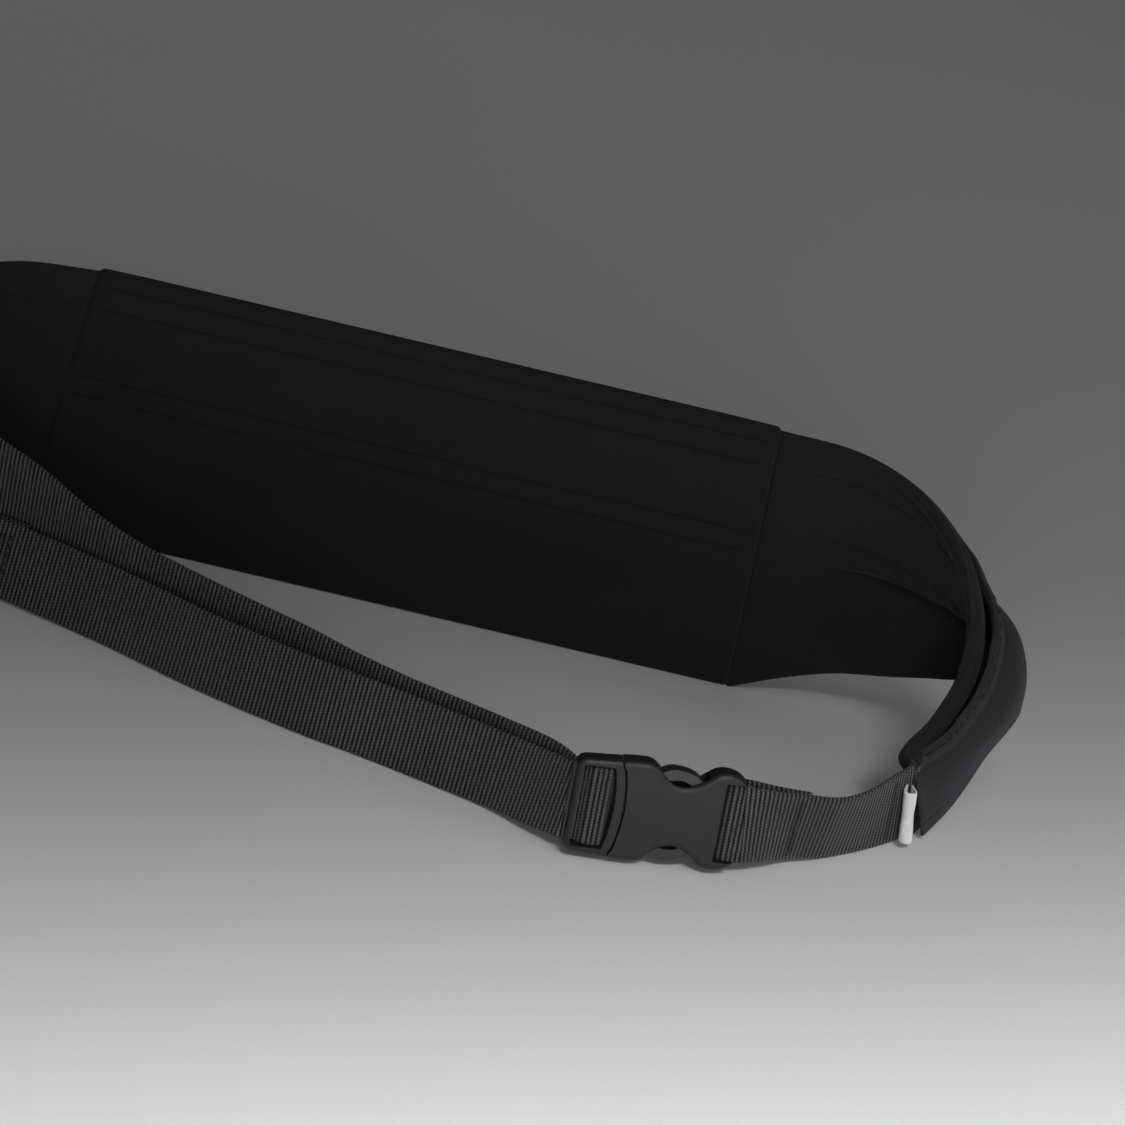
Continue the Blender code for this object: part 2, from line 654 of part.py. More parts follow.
def make_buckle_male():
    """Plug frame: ladder window with its bar, curved shoulder and the guide tongue."""
    front = -FRAME_DEPTH / 2 - FRAME_SHIFT
    back = FRAME_DEPTH / 2 - FRAME_SHIFT
    obj = finish("buckle_male", prism_mesh("buckle_male", frame_outline(), front, back), PLASTIC, 0.5)
    bevel(obj, 1.0, 3, 60)
    cut(obj, "ladder_window", prism_mesh("ladder_window", window_outline(), front - 2, back + 2))
    step_low = (FRAME_END_X - 1, -1.1, -WINDOW_HALF)
    step_high = (WINDOW_X + 1, back + 2, WINDOW_HALF)
    cut(obj, "ladder_rear_step", box_mesh("ladder_rear_step", step_low, step_high))
    bar_low = (LADDER_X - LADDER_WIDTH / 2, -1.7, -WINDOW_HALF - 0.6)
    bar_high = (LADDER_X + LADDER_WIDTH / 2, 0.7, WINDOW_HALF + 0.6)
    cut(obj, "ladder_bar", box_mesh("ladder_bar", bar_low, bar_high), "UNION")
    tip = TONGUE_TIP_X
    tongue = [(MOUTH_X, -TONGUE_HALF), (tip - 1.5, -TONGUE_HALF), (tip, 1.5 - TONGUE_HALF),
              (tip, TONGUE_HALF - 1.5), (tip - 1.5, TONGUE_HALF), (MOUTH_X, TONGUE_HALF)]
    half = TONGUE_DEPTH / 2
    cut(obj, "guide_tongue", prism_mesh("guide_tongue", tongue, -half, half), "UNION")
    for name, side in (("upper", 1), ("lower", -1)):
        middle = side * ARM_ROOT[1]
        depth = ARM_DEPTH / 2 + MOUTH_GAP
        recess = box_mesh("arm_recess", (ARM_RECESS[0], -depth, middle - ARM_RECESS_HALF),
                          (ARM_RECESS[1], depth, middle + ARM_RECESS_HALF))
        cut(obj, "arm_recess_" + name, recess)
    bevel(obj, CUT_FILLET, 2, 50)
    obj.matrix_world = millimetre_matrix(buckle_place())


def arm_outline():
    """Upper spring arm about its root: slim neck, press pad in the window, barbed tip."""
    tip = ARM_TIP_X - ARM_ROOT[0]
    bulge = ARM_BULGE - ARM_ROOT[1]
    outer = [(-2.0, 1.6), (1.0, 1.7), (5.5, 3.0), (8.4, bulge - 1.7), (10.2, bulge - 0.6),
             (12.2, bulge), (15.0, bulge - 0.1), (18.2, bulge - 0.7), (20.4, bulge - 1.7),
             (22.2, 2.7), (tip, 1.2)]
    inner = [(tip - 0.6, 0.2), (20.0, 0.6), (15.5, 2.6), (10.5, 1.6), (6.0, 0.1),
             (1.0, -0.5), (-2.0, -0.9)]
    return outer + inner


def make_arms():
    """Two spring arms, each with its origin on its flexing root."""
    half = ARM_DEPTH / 2
    for name, side in (("buckle_arm_upper", 1), ("buckle_arm_lower", -1)):
        outline = [(x, side * z) for x, z in arm_outline()]
        mesh = prism_mesh(name, outline if side < 0 else outline[::-1], -half, half)
        obj = finish(name, mesh, PLASTIC, 0.5)
        bevel(obj, 0.4, 2, 50)
        root = Matrix.Translation((ARM_ROOT[0], 0, side * ARM_ROOT[1]))
        obj.matrix_world = millimetre_matrix(buckle_place() @ root)


# ---------------------------------------------------------------- webbing

def web_section(bottom, along, lean, width=WEB_WIDTH, thickness=WEB_THICKNESS):
    """Four corners of the webbing: it stands on bottom and leans inwards by lean degrees."""
    level = Vector((along.x, along.y, 0)).normalized()
    inward = Vector((-level.y, level.x, 0))
    up = inward * sin(radians(lean)) + Vector((0, 0, cos(radians(lean))))
    across = up.cross(along.normalized()).normalized() * (thickness / 2)
    return [bottom - across, bottom - across + up * width, bottom + across + up * width, bottom + across]


def web_rings(route, rightwards=True):
    """Sections along a route of (x, y, z, lean) whose webbing runs left to right or back."""
    rings = []
    for k, here in enumerate(route):
        before = route[max(k - 1, 0)]
        after = route[min(k + 1, len(route) - 1)]
        along = Vector(after[:3]) - Vector(before[:3])
        if not rightwards:
            along = -along
        rings.append(web_section(Vector(here[:3]), along, here[3]))
    return rings


def in_buckle(x, y):
    """Lower edge of the webbing at a place in the buckle's own frame."""
    point = buckle_place() @ Vector((x, y, -WEB_WIDTH / 2))
    return (point.x, point.y, point.z, BUCKLE_LEAN * 180 / pi)


def flat_section(x, y, heading):
    """Section of webbing inside the buckle, turned by heading in the buckle's own x-y plane."""
    place = buckle_place()
    side = Vector((-sin(heading), cos(heading), 0)) * (WEB_THICKNESS / 2)
    half = WEB_WIDTH / 2
    corners = []
    for sign, z in ((-1, -half), (-1, half), (1, half), (1, -half)):
        corners.append(place @ (Vector((x, y, z)) + side * sign))
    return corners


def turned_sections(points):
    """Sections along a chain of (x, y) points in the buckle's own frame."""
    rings = []
    for k, (x, y) in enumerate(points):
        before = points[max(k - 1, 0)]
        after = points[min(k + 1, len(points) - 1)]
        rings.append(flat_section(x, y, atan2(after[1] - before[1], after[0] - before[0])))
    return rings


def bend(centre, radius, start, stop, count=6):
    """Points on an arc in the buckle's x-y plane, angles in degrees."""
    return [(centre[0] + radius * cos(radians(start + (stop - start) * k / count)),
             centre[1] + radius * sin(radians(start + (stop - start) * k / count)))
            for k in range(count + 1)]


def strap_right_route():
    """Lower edge of the fixed strap's front layer, from just outside the socket to the wing."""
    start = [in_buckle(BUCKLE_HALF_LENGTH + reach, -BAR_TURN) for reach in STRAIGHT_EXIT]
    return smooth_route(start + STRAP_RIGHT_ROUTE, STRAP_RIGHT_STEPS)


def back_layer():
    """Sections of the fixed strap's short rear layer, from its stitched end to the socket."""
    route = strap_right_route()
    rings = []
    for step in range(STITCH_STEP, CLEAR_STEP, -1):
        here = route[step]
        along = Vector((route[step + 1] - route[step - 1])[:3])
        level = Vector((along.x, along.y, 0)).normalized()
        inward = Vector((-level.y, level.x, 0))
        close = WEB_THICKNESS + LAYER_GAP
        share = ease((step - CLEAR_STEP) / (STITCH_STEP - CLEAR_STEP))
        spread = close + (2 * BAR_TURN - close) * (1 - share)
        section = web_section(Vector(here[:3]) + inward * spread, along, here[3])
        rings.append(section[::-1])
    return rings


def make_strap_right():
    """Fixed strap: short stitched layer, turn round the socket's bar, long front layer."""
    turn = bend((SLOT_X[1] + 0.9, 0), BAR_TURN, 90, 270, 8)
    outside = BUCKLE_HALF_LENGTH + 0.4
    rings = back_layer()
    rings += turned_sections([(outside + 1.5, BAR_TURN)] + turn + [(outside, -BAR_TURN)])
    rings += web_rings(strap_right_route())
    finish("strap_right", tube_mesh("strap_right", rings), WEBBING, 0.8)


def tail_route():
    start = [in_buckle(FRAME_END_X - reach, TAIL_LEVEL) for reach in STRAIGHT_EXIT]
    return smooth_route(start + TAIL_ROUTE, TAIL_STEPS)


def make_strap_tail():
    """Free tail: from the plug's window out behind its end bar, to the folded hem."""
    rings = turned_sections([(-25.5, TAIL_LEVEL), (-26.6, TAIL_LEVEL),
                             (FRAME_END_X - 0.6, TAIL_LEVEL)])
    route = tail_route()
    rings += [section[::-1] for section in web_rings(route, rightwards=False)]
    finish("strap_tail", tube_mesh("strap_tail", rings), WEBBING, 0.8)
    rings = []
    for section in web_rings(route[-TAIL_HEM_STEPS:], rightwards=False):
        inward = (section[3] - section[0]).normalized() * (WEB_THICKNESS + LAYER_GAP)
        rings.append([corner + inward for corner in section])
    finish("strap_tail_hem", tube_mesh("strap_tail_hem", rings), WEBBING, 0.8)


def make_strap_bight():
    """Webbing over the plug's ladder bar, between the load strap and the tail."""
    rise = bend((LADDER_X + 0.6, -0.55), 2.35, 50, -90, 5)
    fall = bend((LADDER_X - 0.6, -0.55), 2.35, -90, -150, 3)
    chain = rise + fall + [(-23.4, -0.85), (-24.2, -0.15), (-25.1, TAIL_LEVEL)]
    finish("strap_bight", tube_mesh("strap_bight", turned_sections(chain)), WEBBING, 0.8)


def load_route():
    start = in_buckle(FRAME_END_X - STRAIGHT_EXIT[0], LOAD_LEVEL + LOAD_SPREAD)
    return smooth_route([start] + LOAD_ROUTE, LOAD_STEPS)


def make_load_strap():
    """Adjustable strap from the left wing to the plug, in a far and a near length."""
    route = load_route()
    limit = in_buckle(NEAR_STRAP_END_X, 0)[0]
    near = [point for point in route if point.x > limit]
    far = [point for point in route if point.x <= limit]
    middle = near[-1].lerp(far[0], 0.5)
    step = (far[0] - near[-1]).normalized() * (SPLIT_GAP / 2)
    near.append(middle - step)
    far.insert(0, middle + step)
    rings = turned_sections([(LADDER_X + 0.2, LOAD_LEVEL), (-23.5, LOAD_LEVEL),
                             (FRAME_END_X - 0.6, LOAD_LEVEL)])
    rings += [section[::-1] for section in web_rings(near, rightwards=False)]
    finish("strap_load_near", tube_mesh("strap_load_near", rings), WEBBING, 0.8)
    far_mesh = tube_mesh("strap_load_far", web_rings(far, rightwards=False))
    finish("strap_load_far", far_mesh, WEBBING, 0.8)


def make_side_tab():
    """White ribbon folded into an upright loop that stands out of the right wing's end."""
    foot = Vector(TAB_FOOT)
    outward = Vector(TAB_OUTWARD).normalized()
    along = Vector((outward.y, -outward.x, 0))
    up = Vector(TAB_UP).normalized()
    rings = []
    for k in range(TAB_STEPS + 1):
        turn = pi * k / TAB_STEPS
        reach = TAB_LENGTH * sin(turn) ** TAB_ROUNDNESS
        wide = TAB_WIDTH / 2 * cos(turn) * (TAB_NECK + (1 - TAB_NECK) * sin(turn))
        centre = foot + outward * reach + along * wide
        heading = outward * cos(turn) - along * sin(turn)
        side = up.cross(heading).normalized() * (TAB_THICKNESS / 2)
        rings.append([centre - side, centre - side + up * TAB_HEIGHT,
                      centre + side + up * TAB_HEIGHT, centre + side])
    finish("side_tab", tube_mesh("side_tab", rings), WHITE, 0.6)


def make_bartacks():
    """Dense cross stitches that hold each strap: thin bars on the face of the webbing."""
    spots = {"bartack_loop": (strap_right_route(), STITCH_STEP - 1, True),
             "bartack_right": (strap_right_route(), STRAP_RIGHT_STEPS - 2, True),
             "bartack_left": (load_route(), LOAD_STEPS - 2, False)}
    for name, (route, step, rightwards) in spots.items():
        middle = Vector(route[step][:3])
        along = Vector((route[step + 1] - route[step - 1])[:3]).normalized()
        along = along if rightwards else -along
        section = web_section(middle, along, route[step][3])
        up = (section[1] - section[0]).normalized()
        front = (section[0] - section[3]).normalized()
        near = section[0] + up * 1.4 + front * LAYER_GAP
        far = near + front * TACK_DEPTH
        reach = up * (WEB_WIDTH - 2.8)
        rings = []
        for shift in (-TACK_LENGTH / 2, TACK_LENGTH / 2):
            rings.append([near + along * shift, near + along * shift + reach,
                          far + along * shift + reach, far + along * shift])
        finish(name, tube_mesh(name, rings), KNIT, 0.7)


# ---------------------------------------------------------------- build

def main():
    clear_scene()
    make_back_panel()
    make_elastic_bands()
    make_lining()
    make_outer_panels()
    make_zip()
    make_pull(make_slider())
    make_wing("right", Wing(1, RIGHT_TOP, RIGHT_BOTTOM))
    make_wing("left", Wing(-1, LEFT_TOP, LEFT_BOTTOM))
    make_buckle_female()
    make_buckle_male()
    make_arms()
    make_strap_right()
    make_strap_tail()
    make_strap_bight()
    make_load_strap()
    make_side_tab()
    make_bartacks()


main()
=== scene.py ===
"""Looks of the waist pack: knit covers, woven straps, zip, buckle, stitching, light and camera.

Lengths below are in millimetres in the part's own frame; MM turns them into metres in mesh data.
"""
from math import cos, pi, radians, sin

import bmesh
import bpy
import numpy as np
from mathutils import Matrix, Vector


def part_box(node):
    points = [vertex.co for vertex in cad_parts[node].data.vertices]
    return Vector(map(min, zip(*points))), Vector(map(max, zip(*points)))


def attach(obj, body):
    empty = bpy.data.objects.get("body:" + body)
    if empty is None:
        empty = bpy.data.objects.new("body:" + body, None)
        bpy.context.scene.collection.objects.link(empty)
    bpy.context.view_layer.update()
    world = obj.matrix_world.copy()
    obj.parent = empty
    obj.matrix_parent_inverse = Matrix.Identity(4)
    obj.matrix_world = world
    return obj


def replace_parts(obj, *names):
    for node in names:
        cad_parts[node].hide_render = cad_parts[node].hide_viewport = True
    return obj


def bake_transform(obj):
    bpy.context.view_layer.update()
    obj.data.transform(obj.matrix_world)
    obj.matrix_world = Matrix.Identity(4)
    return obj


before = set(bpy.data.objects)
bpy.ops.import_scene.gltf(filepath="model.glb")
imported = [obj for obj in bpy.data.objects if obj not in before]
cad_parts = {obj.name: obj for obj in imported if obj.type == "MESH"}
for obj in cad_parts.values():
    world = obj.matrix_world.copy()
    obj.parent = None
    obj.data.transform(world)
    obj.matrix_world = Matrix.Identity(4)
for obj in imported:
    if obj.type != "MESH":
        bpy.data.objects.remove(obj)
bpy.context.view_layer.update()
MM = 0.001

# ---------------------------------------------------------------- camera

AIM = Vector((0.05342, -0.0052, 0.03423))
ELEVATION = radians(30.0)
ROLL = radians(13.2)
REACH = 1.448


def make_camera():
    back = Vector((0.0, -cos(ELEVATION), sin(ELEVATION)))
    level = Vector((1.0, 0.0, 0.0))
    rise = Vector((0.0, sin(ELEVATION), cos(ELEVATION)))
    right = level * cos(ROLL) + rise * sin(ROLL)
    up = rise * cos(ROLL) - level * sin(ROLL)
    place = Matrix((right, up, back)).transposed().to_4x4()
    place.translation = AIM + back * REACH
    data = bpy.data.cameras.new("camera")
    data.lens = 142.24
    data.sensor_width = 36.0
    data.clip_end = 50.0
    camera = placed("camera", data)
    camera.matrix_world = place
    bpy.context.scene.camera = camera


# ---------------------------------------------------------------- material helpers

class Graph:
    """Short way to write a material's nodes."""

    def __init__(self, name, colour, roughness, **settings):
        self.material = bpy.data.materials.new(name)
        self.material.use_nodes = True
        self.tree = self.material.node_tree
        self.shader = self.tree.nodes["Principled BSDF"]
        self.shader.inputs["Base Color"].default_value = (*colour, 1.0)
        self.shader.inputs["Roughness"].default_value = roughness
        for socket, value in settings.items():
            self.shader.inputs[socket.replace("_", " ")].default_value = value
        self.material.diffuse_color = (*colour, 1.0)
        self.uv = None
        self.spot = None

    def put(self, socket, value):
        if isinstance(value, bpy.types.NodeSocket):
            self.tree.links.new(value, socket)
        else:
            socket.default_value = value

    def node(self, kind, inputs=(), output=0, **settings):
        made = self.tree.nodes.new(kind)
        for key, value in settings.items():
            setattr(made, key, value)
        for key, value in dict(inputs).items():
            self.put(made.inputs[key], value)
        return made.outputs[output]

    def math(self, operation, a, b=0.0, c=0.0):
        return self.node("ShaderNodeMath", {0: a, 1: b, 2: c}, operation=operation)

    def plus(self, a, b):
        return self.math("ADD", a, b)

    def times(self, a, b):
        return self.math("MULTIPLY", a, b)

    def over(self, a, b):
        return self.math("DIVIDE", a, b)

    def power(self, a, b):
        return self.math("POWER", a, b)

    def sine(self, a):
        return self.math("SINE", a)

    def fraction(self, a):
        return self.math("FRACT", a)

    def coordinates(self):
        """Along and across in millimetres, from the UV map."""
        if self.uv is None:
            uv = self.node("ShaderNodeUVMap", uv_map="mm")
            split = self.tree.nodes.new("ShaderNodeSeparateXYZ")
            self.tree.links.new(uv, split.inputs[0])
            self.uv = (self.times(split.outputs[0], 100.0),
                       self.times(split.outputs[1], 100.0))
        return self.uv

    def noise(self, scale, detail=2.0, rough=0.5, output=0):
        if self.spot is None:
            self.spot = self.node("ShaderNodeTexCoord", output=3)
        return self.node("ShaderNodeTexNoise",
                         {"Vector": self.spot, "Scale": scale, "Detail": detail, "Roughness": rough},
                         output=output)

    def spread(self, value, low, high, start=0.0, stop=1.0):
        return self.node("ShaderNodeMapRange", {0: value, 1: start, 2: stop, 3: low, 4: high})

    def vary(self, noise, low, high):
        """The middle of a noise spread from low to high."""
        return self.spread(noise, low, high, 0.3, 0.7)

    def blend(self, share, low, high):
        made = self.tree.nodes.new("ShaderNodeMix")
        made.data_type = "RGBA"
        self.put(made.inputs[0], share)
        self.put(made.inputs[6], (*low, 1.0) if isinstance(low, tuple) else low)
        self.put(made.inputs[7], (*high, 1.0) if isinstance(high, tuple) else high)
        return made.outputs[2]

    def colour(self, value):
        self.put(self.shader.inputs["Base Color"], value)

    def rough(self, value):
        self.put(self.shader.inputs["Roughness"], value)

    def bump(self, height, distance, strength=1.0, normal=None):
        inputs = {"Height": height, "Distance": distance, "Strength": strength}
        if normal is not None:
            inputs["Normal"] = normal
        made = self.node("ShaderNodeBump", inputs)
        self.tree.links.new(made, self.shader.inputs["Normal"])
        return made


def knit_material(name, dark, light, wale=0.62, course=0.48):
    """Fine jersey: columns of V-shaped stitches, a little fuzz, faint patches of wear."""
    g = Graph(name, light, 0.86, Sheen_Weight=0.10, Sheen_Roughness=0.45,
              Sheen_Tint=(0.9, 0.9, 1.0, 1.0), Specular_IOR_Level=0.22)
    along, across = g.coordinates()
    column = g.fraction(g.over(along, wale))
    lean = g.math("ABSOLUTE", g.math("SUBTRACT", column, 0.5))
    row = g.plus(g.over(across, course), g.times(lean, 1.5))
    loops = g.sine(g.times(row, 2 * pi))
    ribs = g.sine(g.times(column, pi))
    stitch = g.times(g.spread(loops, 0.35, 1.0, -1.0, 1.0), g.power(ribs, 0.5))
    fuzz = g.noise(2600.0, 2.0, 0.6)
    patch = g.noise(22.0, 3.0, 0.55)
    grain = g.noise(900.0, 2.0, 0.6)
    tone = g.times(g.spread(stitch, 0.62, 1.0), g.vary(patch, 0.75, 1.25))
    tone = g.times(tone, g.vary(grain, 0.8, 1.15))
    g.colour(g.blend(tone, dark, light))
    g.rough(g.vary(patch, 0.8, 0.92))
    first = g.bump(stitch, 0.00010, 0.7)
    g.bump(g.plus(g.times(fuzz, 0.6), g.times(grain, 0.8)), 0.00012, 0.5, first)
    return g.material


RIB = 1.45
BEAD = 1.05


def webbing_material(name, dark, light):
    """Plain-woven webbing: beads in ribs across the width, with painted shade in the hollows between them and
    painted highlight on their crowns.
    """
    g = Graph(name, light, 0.72, Sheen_Weight=0.12, Sheen_Roughness=0.4, Specular_IOR_Level=0.35)
    along, across = g.coordinates()
    ribs = g.over(along, RIB)
    number = g.math("FLOOR", ribs)
    shift = g.times(g.math("FLOORED_MODULO", number, 2.0), 0.5)
    crown = g.sine(g.times(g.fraction(ribs), pi))
    beads = g.fraction(g.plus(g.over(across, BEAD), shift))
    bead = g.sine(g.times(beads, pi))
    strands = g.sine(g.times(g.plus(across, g.times(along, 0.35)), 21.0))
    height = g.times(g.power(crown, 0.9), g.spread(g.power(bead, 0.6), 0.60, 1.0))
    height = g.plus(height, g.times(strands, 0.05))
    fuzz = g.noise(2200.0, 2.0, 0.6)
    patch = g.noise(35.0, 3.0, 0.5)
    # Colour follows the weave's height: painted shade in the hollows between beads and ribs, painted
    # highlight on the crowns; patch and fuzz are real random tone.
    tone = g.times(g.spread(height, 0.0, 1.0, 0.42, 1.0), g.vary(patch, 0.85, 1.12))
    tone = g.times(tone, g.vary(fuzz, 0.75, 1.15))
    g.colour(g.blend(tone, dark, light))
    g.rough(g.spread(height, 0.86, 0.66))
    first = g.bump(height, 0.00030, 0.9)
    g.bump(fuzz, 0.00008, 0.5, first)
    return g.material


def plastic_material(name, dark, light):
    """Moulded nylon: fine spark-eroded grain and faint flow marks."""
    g = Graph(name, light, 0.48, Specular_IOR_Level=0.5)
    grain = g.noise(1700.0, 3.0, 0.65)
    flow = g.noise(60.0, 3.0, 0.5)
    g.colour(g.blend(g.times(g.vary(grain, 0.75, 1.0),
                            g.vary(flow, 0.85, 1.1)), dark, light))
    g.rough(g.plus(g.vary(flow, 0.40, 0.50), g.vary(grain, -0.05, 0.06)))
    g.bump(grain, 0.00010, 0.6)
    return g.material


def thread_material(name, colour):
    g = Graph(name, colour, 0.8, Specular_IOR_Level=0.2)
    fibres = g.noise(3000.0, 2.0, 0.5)
    g.colour(g.blend(g.vary(fibres, 0.0, 1.0), tuple(0.6 * c for c in colour), colour))
    g.bump(fibres, 0.00005, 0.5)
    return g.material


def ribbon_material(name):
    """White satin ribbon with fine cross ribs."""
    g = Graph(name, (0.87, 0.87, 0.89), 0.5, Sheen_Weight=0.3, Specular_IOR_Level=0.4)
    along, across = g.coordinates()
    ribs = g.sine(g.times(along, 2 * pi / 0.45))
    weft = g.sine(g.times(across, 2 * pi / 0.30))
    weave = g.times(ribs, g.spread(weft, 0.5, 1.0, -1.0, 1.0))
    soil = g.noise(220.0, 4.0, 0.6)
    g.colour(g.blend(g.spread(soil, 0.0, 1.0, 0.35, 0.75), (0.88, 0.88, 0.90), (0.78, 0.78, 0.79)))
    g.bump(weave, 0.00006, 0.6)
    return g.material


def tape_material(name, dark, light):
    """Woven herringbone zip tape."""
    g = Graph(name, light, 0.75, Sheen_Weight=0.12)
    spot = g.node("ShaderNodeTexCoord", output=3)
    split = g.tree.nodes.new("ShaderNodeSeparateXYZ")
    g.tree.links.new(spot, split.inputs[0])
    x = g.times(split.outputs[0], 1000.0)
    z = g.times(split.outputs[2], 1000.0)
    fold = g.math("PINGPONG", z, 1.2)
    lines = g.sine(g.times(g.plus(x, fold), 2 * pi / 0.55))
    g.colour(g.blend(g.spread(lines, 0.0, 1.0, -1.0, 1.0), dark, light))
    g.bump(lines, 0.00006, 0.6)
    return g.material


def metal_material(name, colour, rough):
    g = Graph(name, colour, rough, Metallic=1.0)
    grain = g.noise(1500.0, 3.0, 0.6)
    wear = g.noise(180.0, 4.0, 0.6)
    g.colour(g.blend(g.spread(wear, 0.0, 1.0, 0.55, 0.75), colour, tuple(min(1.0, 2.2 * c) for c in colour)))
    g.rough(g.vary(wear, rough - 0.07, rough + 0.1))
    g.bump(grain, 0.00003, 0.4)
    return g.material


KNIT = knit_material("knit", (0.0055, 0.0055, 0.0060), (0.0160, 0.0160, 0.0170))
OUTER = knit_material("outer_knit", (0.0105, 0.0105, 0.0115), (0.0290, 0.0290, 0.0308))
# Webbing and elastic both carry painted shade in the weave's hollows and painted highlight on its crowns,
# from webbing_material.
WEB = webbing_material("webbing", (0.0015, 0.0015, 0.0020), (0.118, 0.118, 0.122))
PLASTIC = plastic_material("plastic", (0.007, 0.007, 0.008), (0.016, 0.016, 0.0175))
THREAD = thread_material("thread", (0.0075, 0.0075, 0.0080))
STRAP_THREAD = thread_material("strap_thread", (0.042, 0.042, 0.044))
RIBBON = ribbon_material("ribbon")
TAPE = tape_material("tape", (0.008, 0.008, 0.009), (0.024, 0.024, 0.026))
COIL = plastic_material("coil", (0.012, 0.012, 0.013), (0.022, 0.022, 0.024))
METAL = metal_material("zip_metal", (0.045, 0.045, 0.048), 0.34)
LINING = knit_material("lining", (0.018, 0.018, 0.020), (0.060, 0.060, 0.065), 1.1, 0.9)
ELASTIC = webbing_material("elastic", (0.006, 0.006, 0.007), (0.026, 0.026, 0.028))
GRIP = plastic_material("grip", (0.010, 0.010, 0.011), (0.020, 0.020, 0.022))
# Spring arms: a lighter copy of the plastic, a painted highlight on their lit rounded tops; the coat weight
# gives them real gloss.
GLOSS_AND_PAINTED_HIGHLIGHT = plastic_material("plastic_arm", (0.012, 0.012, 0.013), (0.026, 0.026, 0.028))
GLOSS_AND_PAINTED_HIGHLIGHT.node_tree.nodes["Principled BSDF"].inputs["Coat Weight"].default_value = 0.4


# ---------------------------------------------------------------- curve and mesh helpers

def catmull(points, share):
    """Points at shares from 0 to 1 of a Catmull-Rom curve through the rows of points."""
    values = np.array(points, float)
    padded = np.vstack([2 * values[0] - values[1], values, 2 * values[-1] - values[-2]])
    place = np.clip(share, 0, 1) * (len(values) - 1)
    span = np.minimum(place.astype(int), len(values) - 2)
    t = (place - span)[..., None]
    a, b, c, d = (padded[span + k] for k in range(4))
    return 0.5 * (2 * b + (c - a) * t + (2 * a - 5 * b + 4 * c - d) * t ** 2
                  + (3 * b - a - 3 * c + d) * t ** 3)


def distances(places):
    """Distance of each place from the first, along the line through them."""
    return np.concatenate([[0], np.cumsum(np.linalg.norm(np.diff(places, axis=0), axis=1))])


def even_route(points, spacing):
    """Points an even distance apart along the curve, and the distance of each from its start."""
    share = np.linspace(0, 1, 3000)
    dense = catmull(points, share)
    length = distances(dense[:, :3])
    count = max(3, int(round(length[-1] / spacing)) + 1)
    distance = np.linspace(0, length[-1], count)
    return catmull(points, np.interp(distance, length, share)), distance


def ease(value):
    value = np.clip(value, 0, 1)
    return value * value * (3 - 2 * value)


def hump(value, middle, width):
    return np.exp(-((value - middle) / width) ** 2)


def waves(x, y, seed, size, count=7):
    """Soft pseudo-random field from -1 to 1 whose features are about size across."""
    random = np.random.RandomState(seed)
    total = 0.0
    for _ in range(count):
        angle = random.uniform(0, 2 * pi)
        pitch = size * random.uniform(0.7, 1.8)
        phase = random.uniform(0, 2 * pi)
        total = total + np.sin(2 * pi * (x * cos(angle) + y * sin(angle)) / pitch + phase)
    return total / count * 1.6


def unit(vectors):
    return vectors / np.maximum(np.linalg.norm(vectors, axis=-1, keepdims=True), 1e-9)


def placed(name, data):
    """New object in the scene for a mesh, a lamp or a camera."""
    obj = bpy.data.objects.new(name, data)
    bpy.context.scene.collection.objects.link(obj)
    return obj


def mesh_from(name, points, faces, uvs, material, body):
    """Object from points in millimetres, faces and one UV in millimetres per face corner."""
    mesh = bpy.data.meshes.new(name)
    mesh.from_pydata((np.asarray(points) * MM).tolist(), [], faces)
    mesh.validate()
    made = bmesh.new()
    made.from_mesh(mesh)
    if uvs is not None:
        layer = made.loops.layers.uv.new("mm")
        for face, corners in zip(made.faces, uvs):
            for loop, uv in zip(face.loops, corners):
                loop[layer].uv = (uv[0] / 100, uv[1] / 100)
    if made.calc_volume(signed=True) < 0:
        bmesh.ops.reverse_faces(made, faces=made.faces)
    made.to_mesh(mesh)
    made.free()
    mesh.materials.append(material)
    mesh.shade_smooth()
    obj = placed(name, mesh)
    if body:
        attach(obj, body)
    return obj


def show(obj, slot, *nodes):
    """Hide the CAD nodes that a piece is seen instead of; slot is not used."""
    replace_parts(obj, *nodes)


def ring_faces(rows, count):
    """Faces of a closed body through rows of count points each, with a cap at both ends."""
    index = np.arange(rows * count).reshape(rows, count)
    after = np.roll(index, -1, axis=1)
    quads = np.stack([index[:-1], after[:-1], after[1:], index[1:]], axis=-1).reshape(-1, 4)
    return quads.tolist() + [index[0][::-1].tolist(), index[-1].tolist()]


def sweep(name, rings, along, around, material, body):
    """Closed body through rings (n, m, 3); along has n distances and around has m + 1."""
    n, m = rings.shape[:2]
    low = np.broadcast_to(around[:-1], (n - 1, m))
    high = np.broadcast_to(around[1:], (n - 1, m))
    here = np.broadcast_to(along[:-1, None], (n - 1, m))
    there = np.broadcast_to(along[1:, None], (n - 1, m))
    uvs = np.stack([np.stack([here, low], -1), np.stack([here, high], -1),
                    np.stack([there, high], -1), np.stack([there, low], -1)], axis=2).reshape(-1, 4, 2)
    corners = uvs.tolist()
    corners.append([(along[0], around[k]) for k in range(m - 1, -1, -1)])
    corners.append([(along[-1], around[k]) for k in range(m)])
    return mesh_from(name, rings.reshape(-1, 3), ring_faces(n, m), corners, material, body)


# ---------------------------------------------------------------- cloth panels

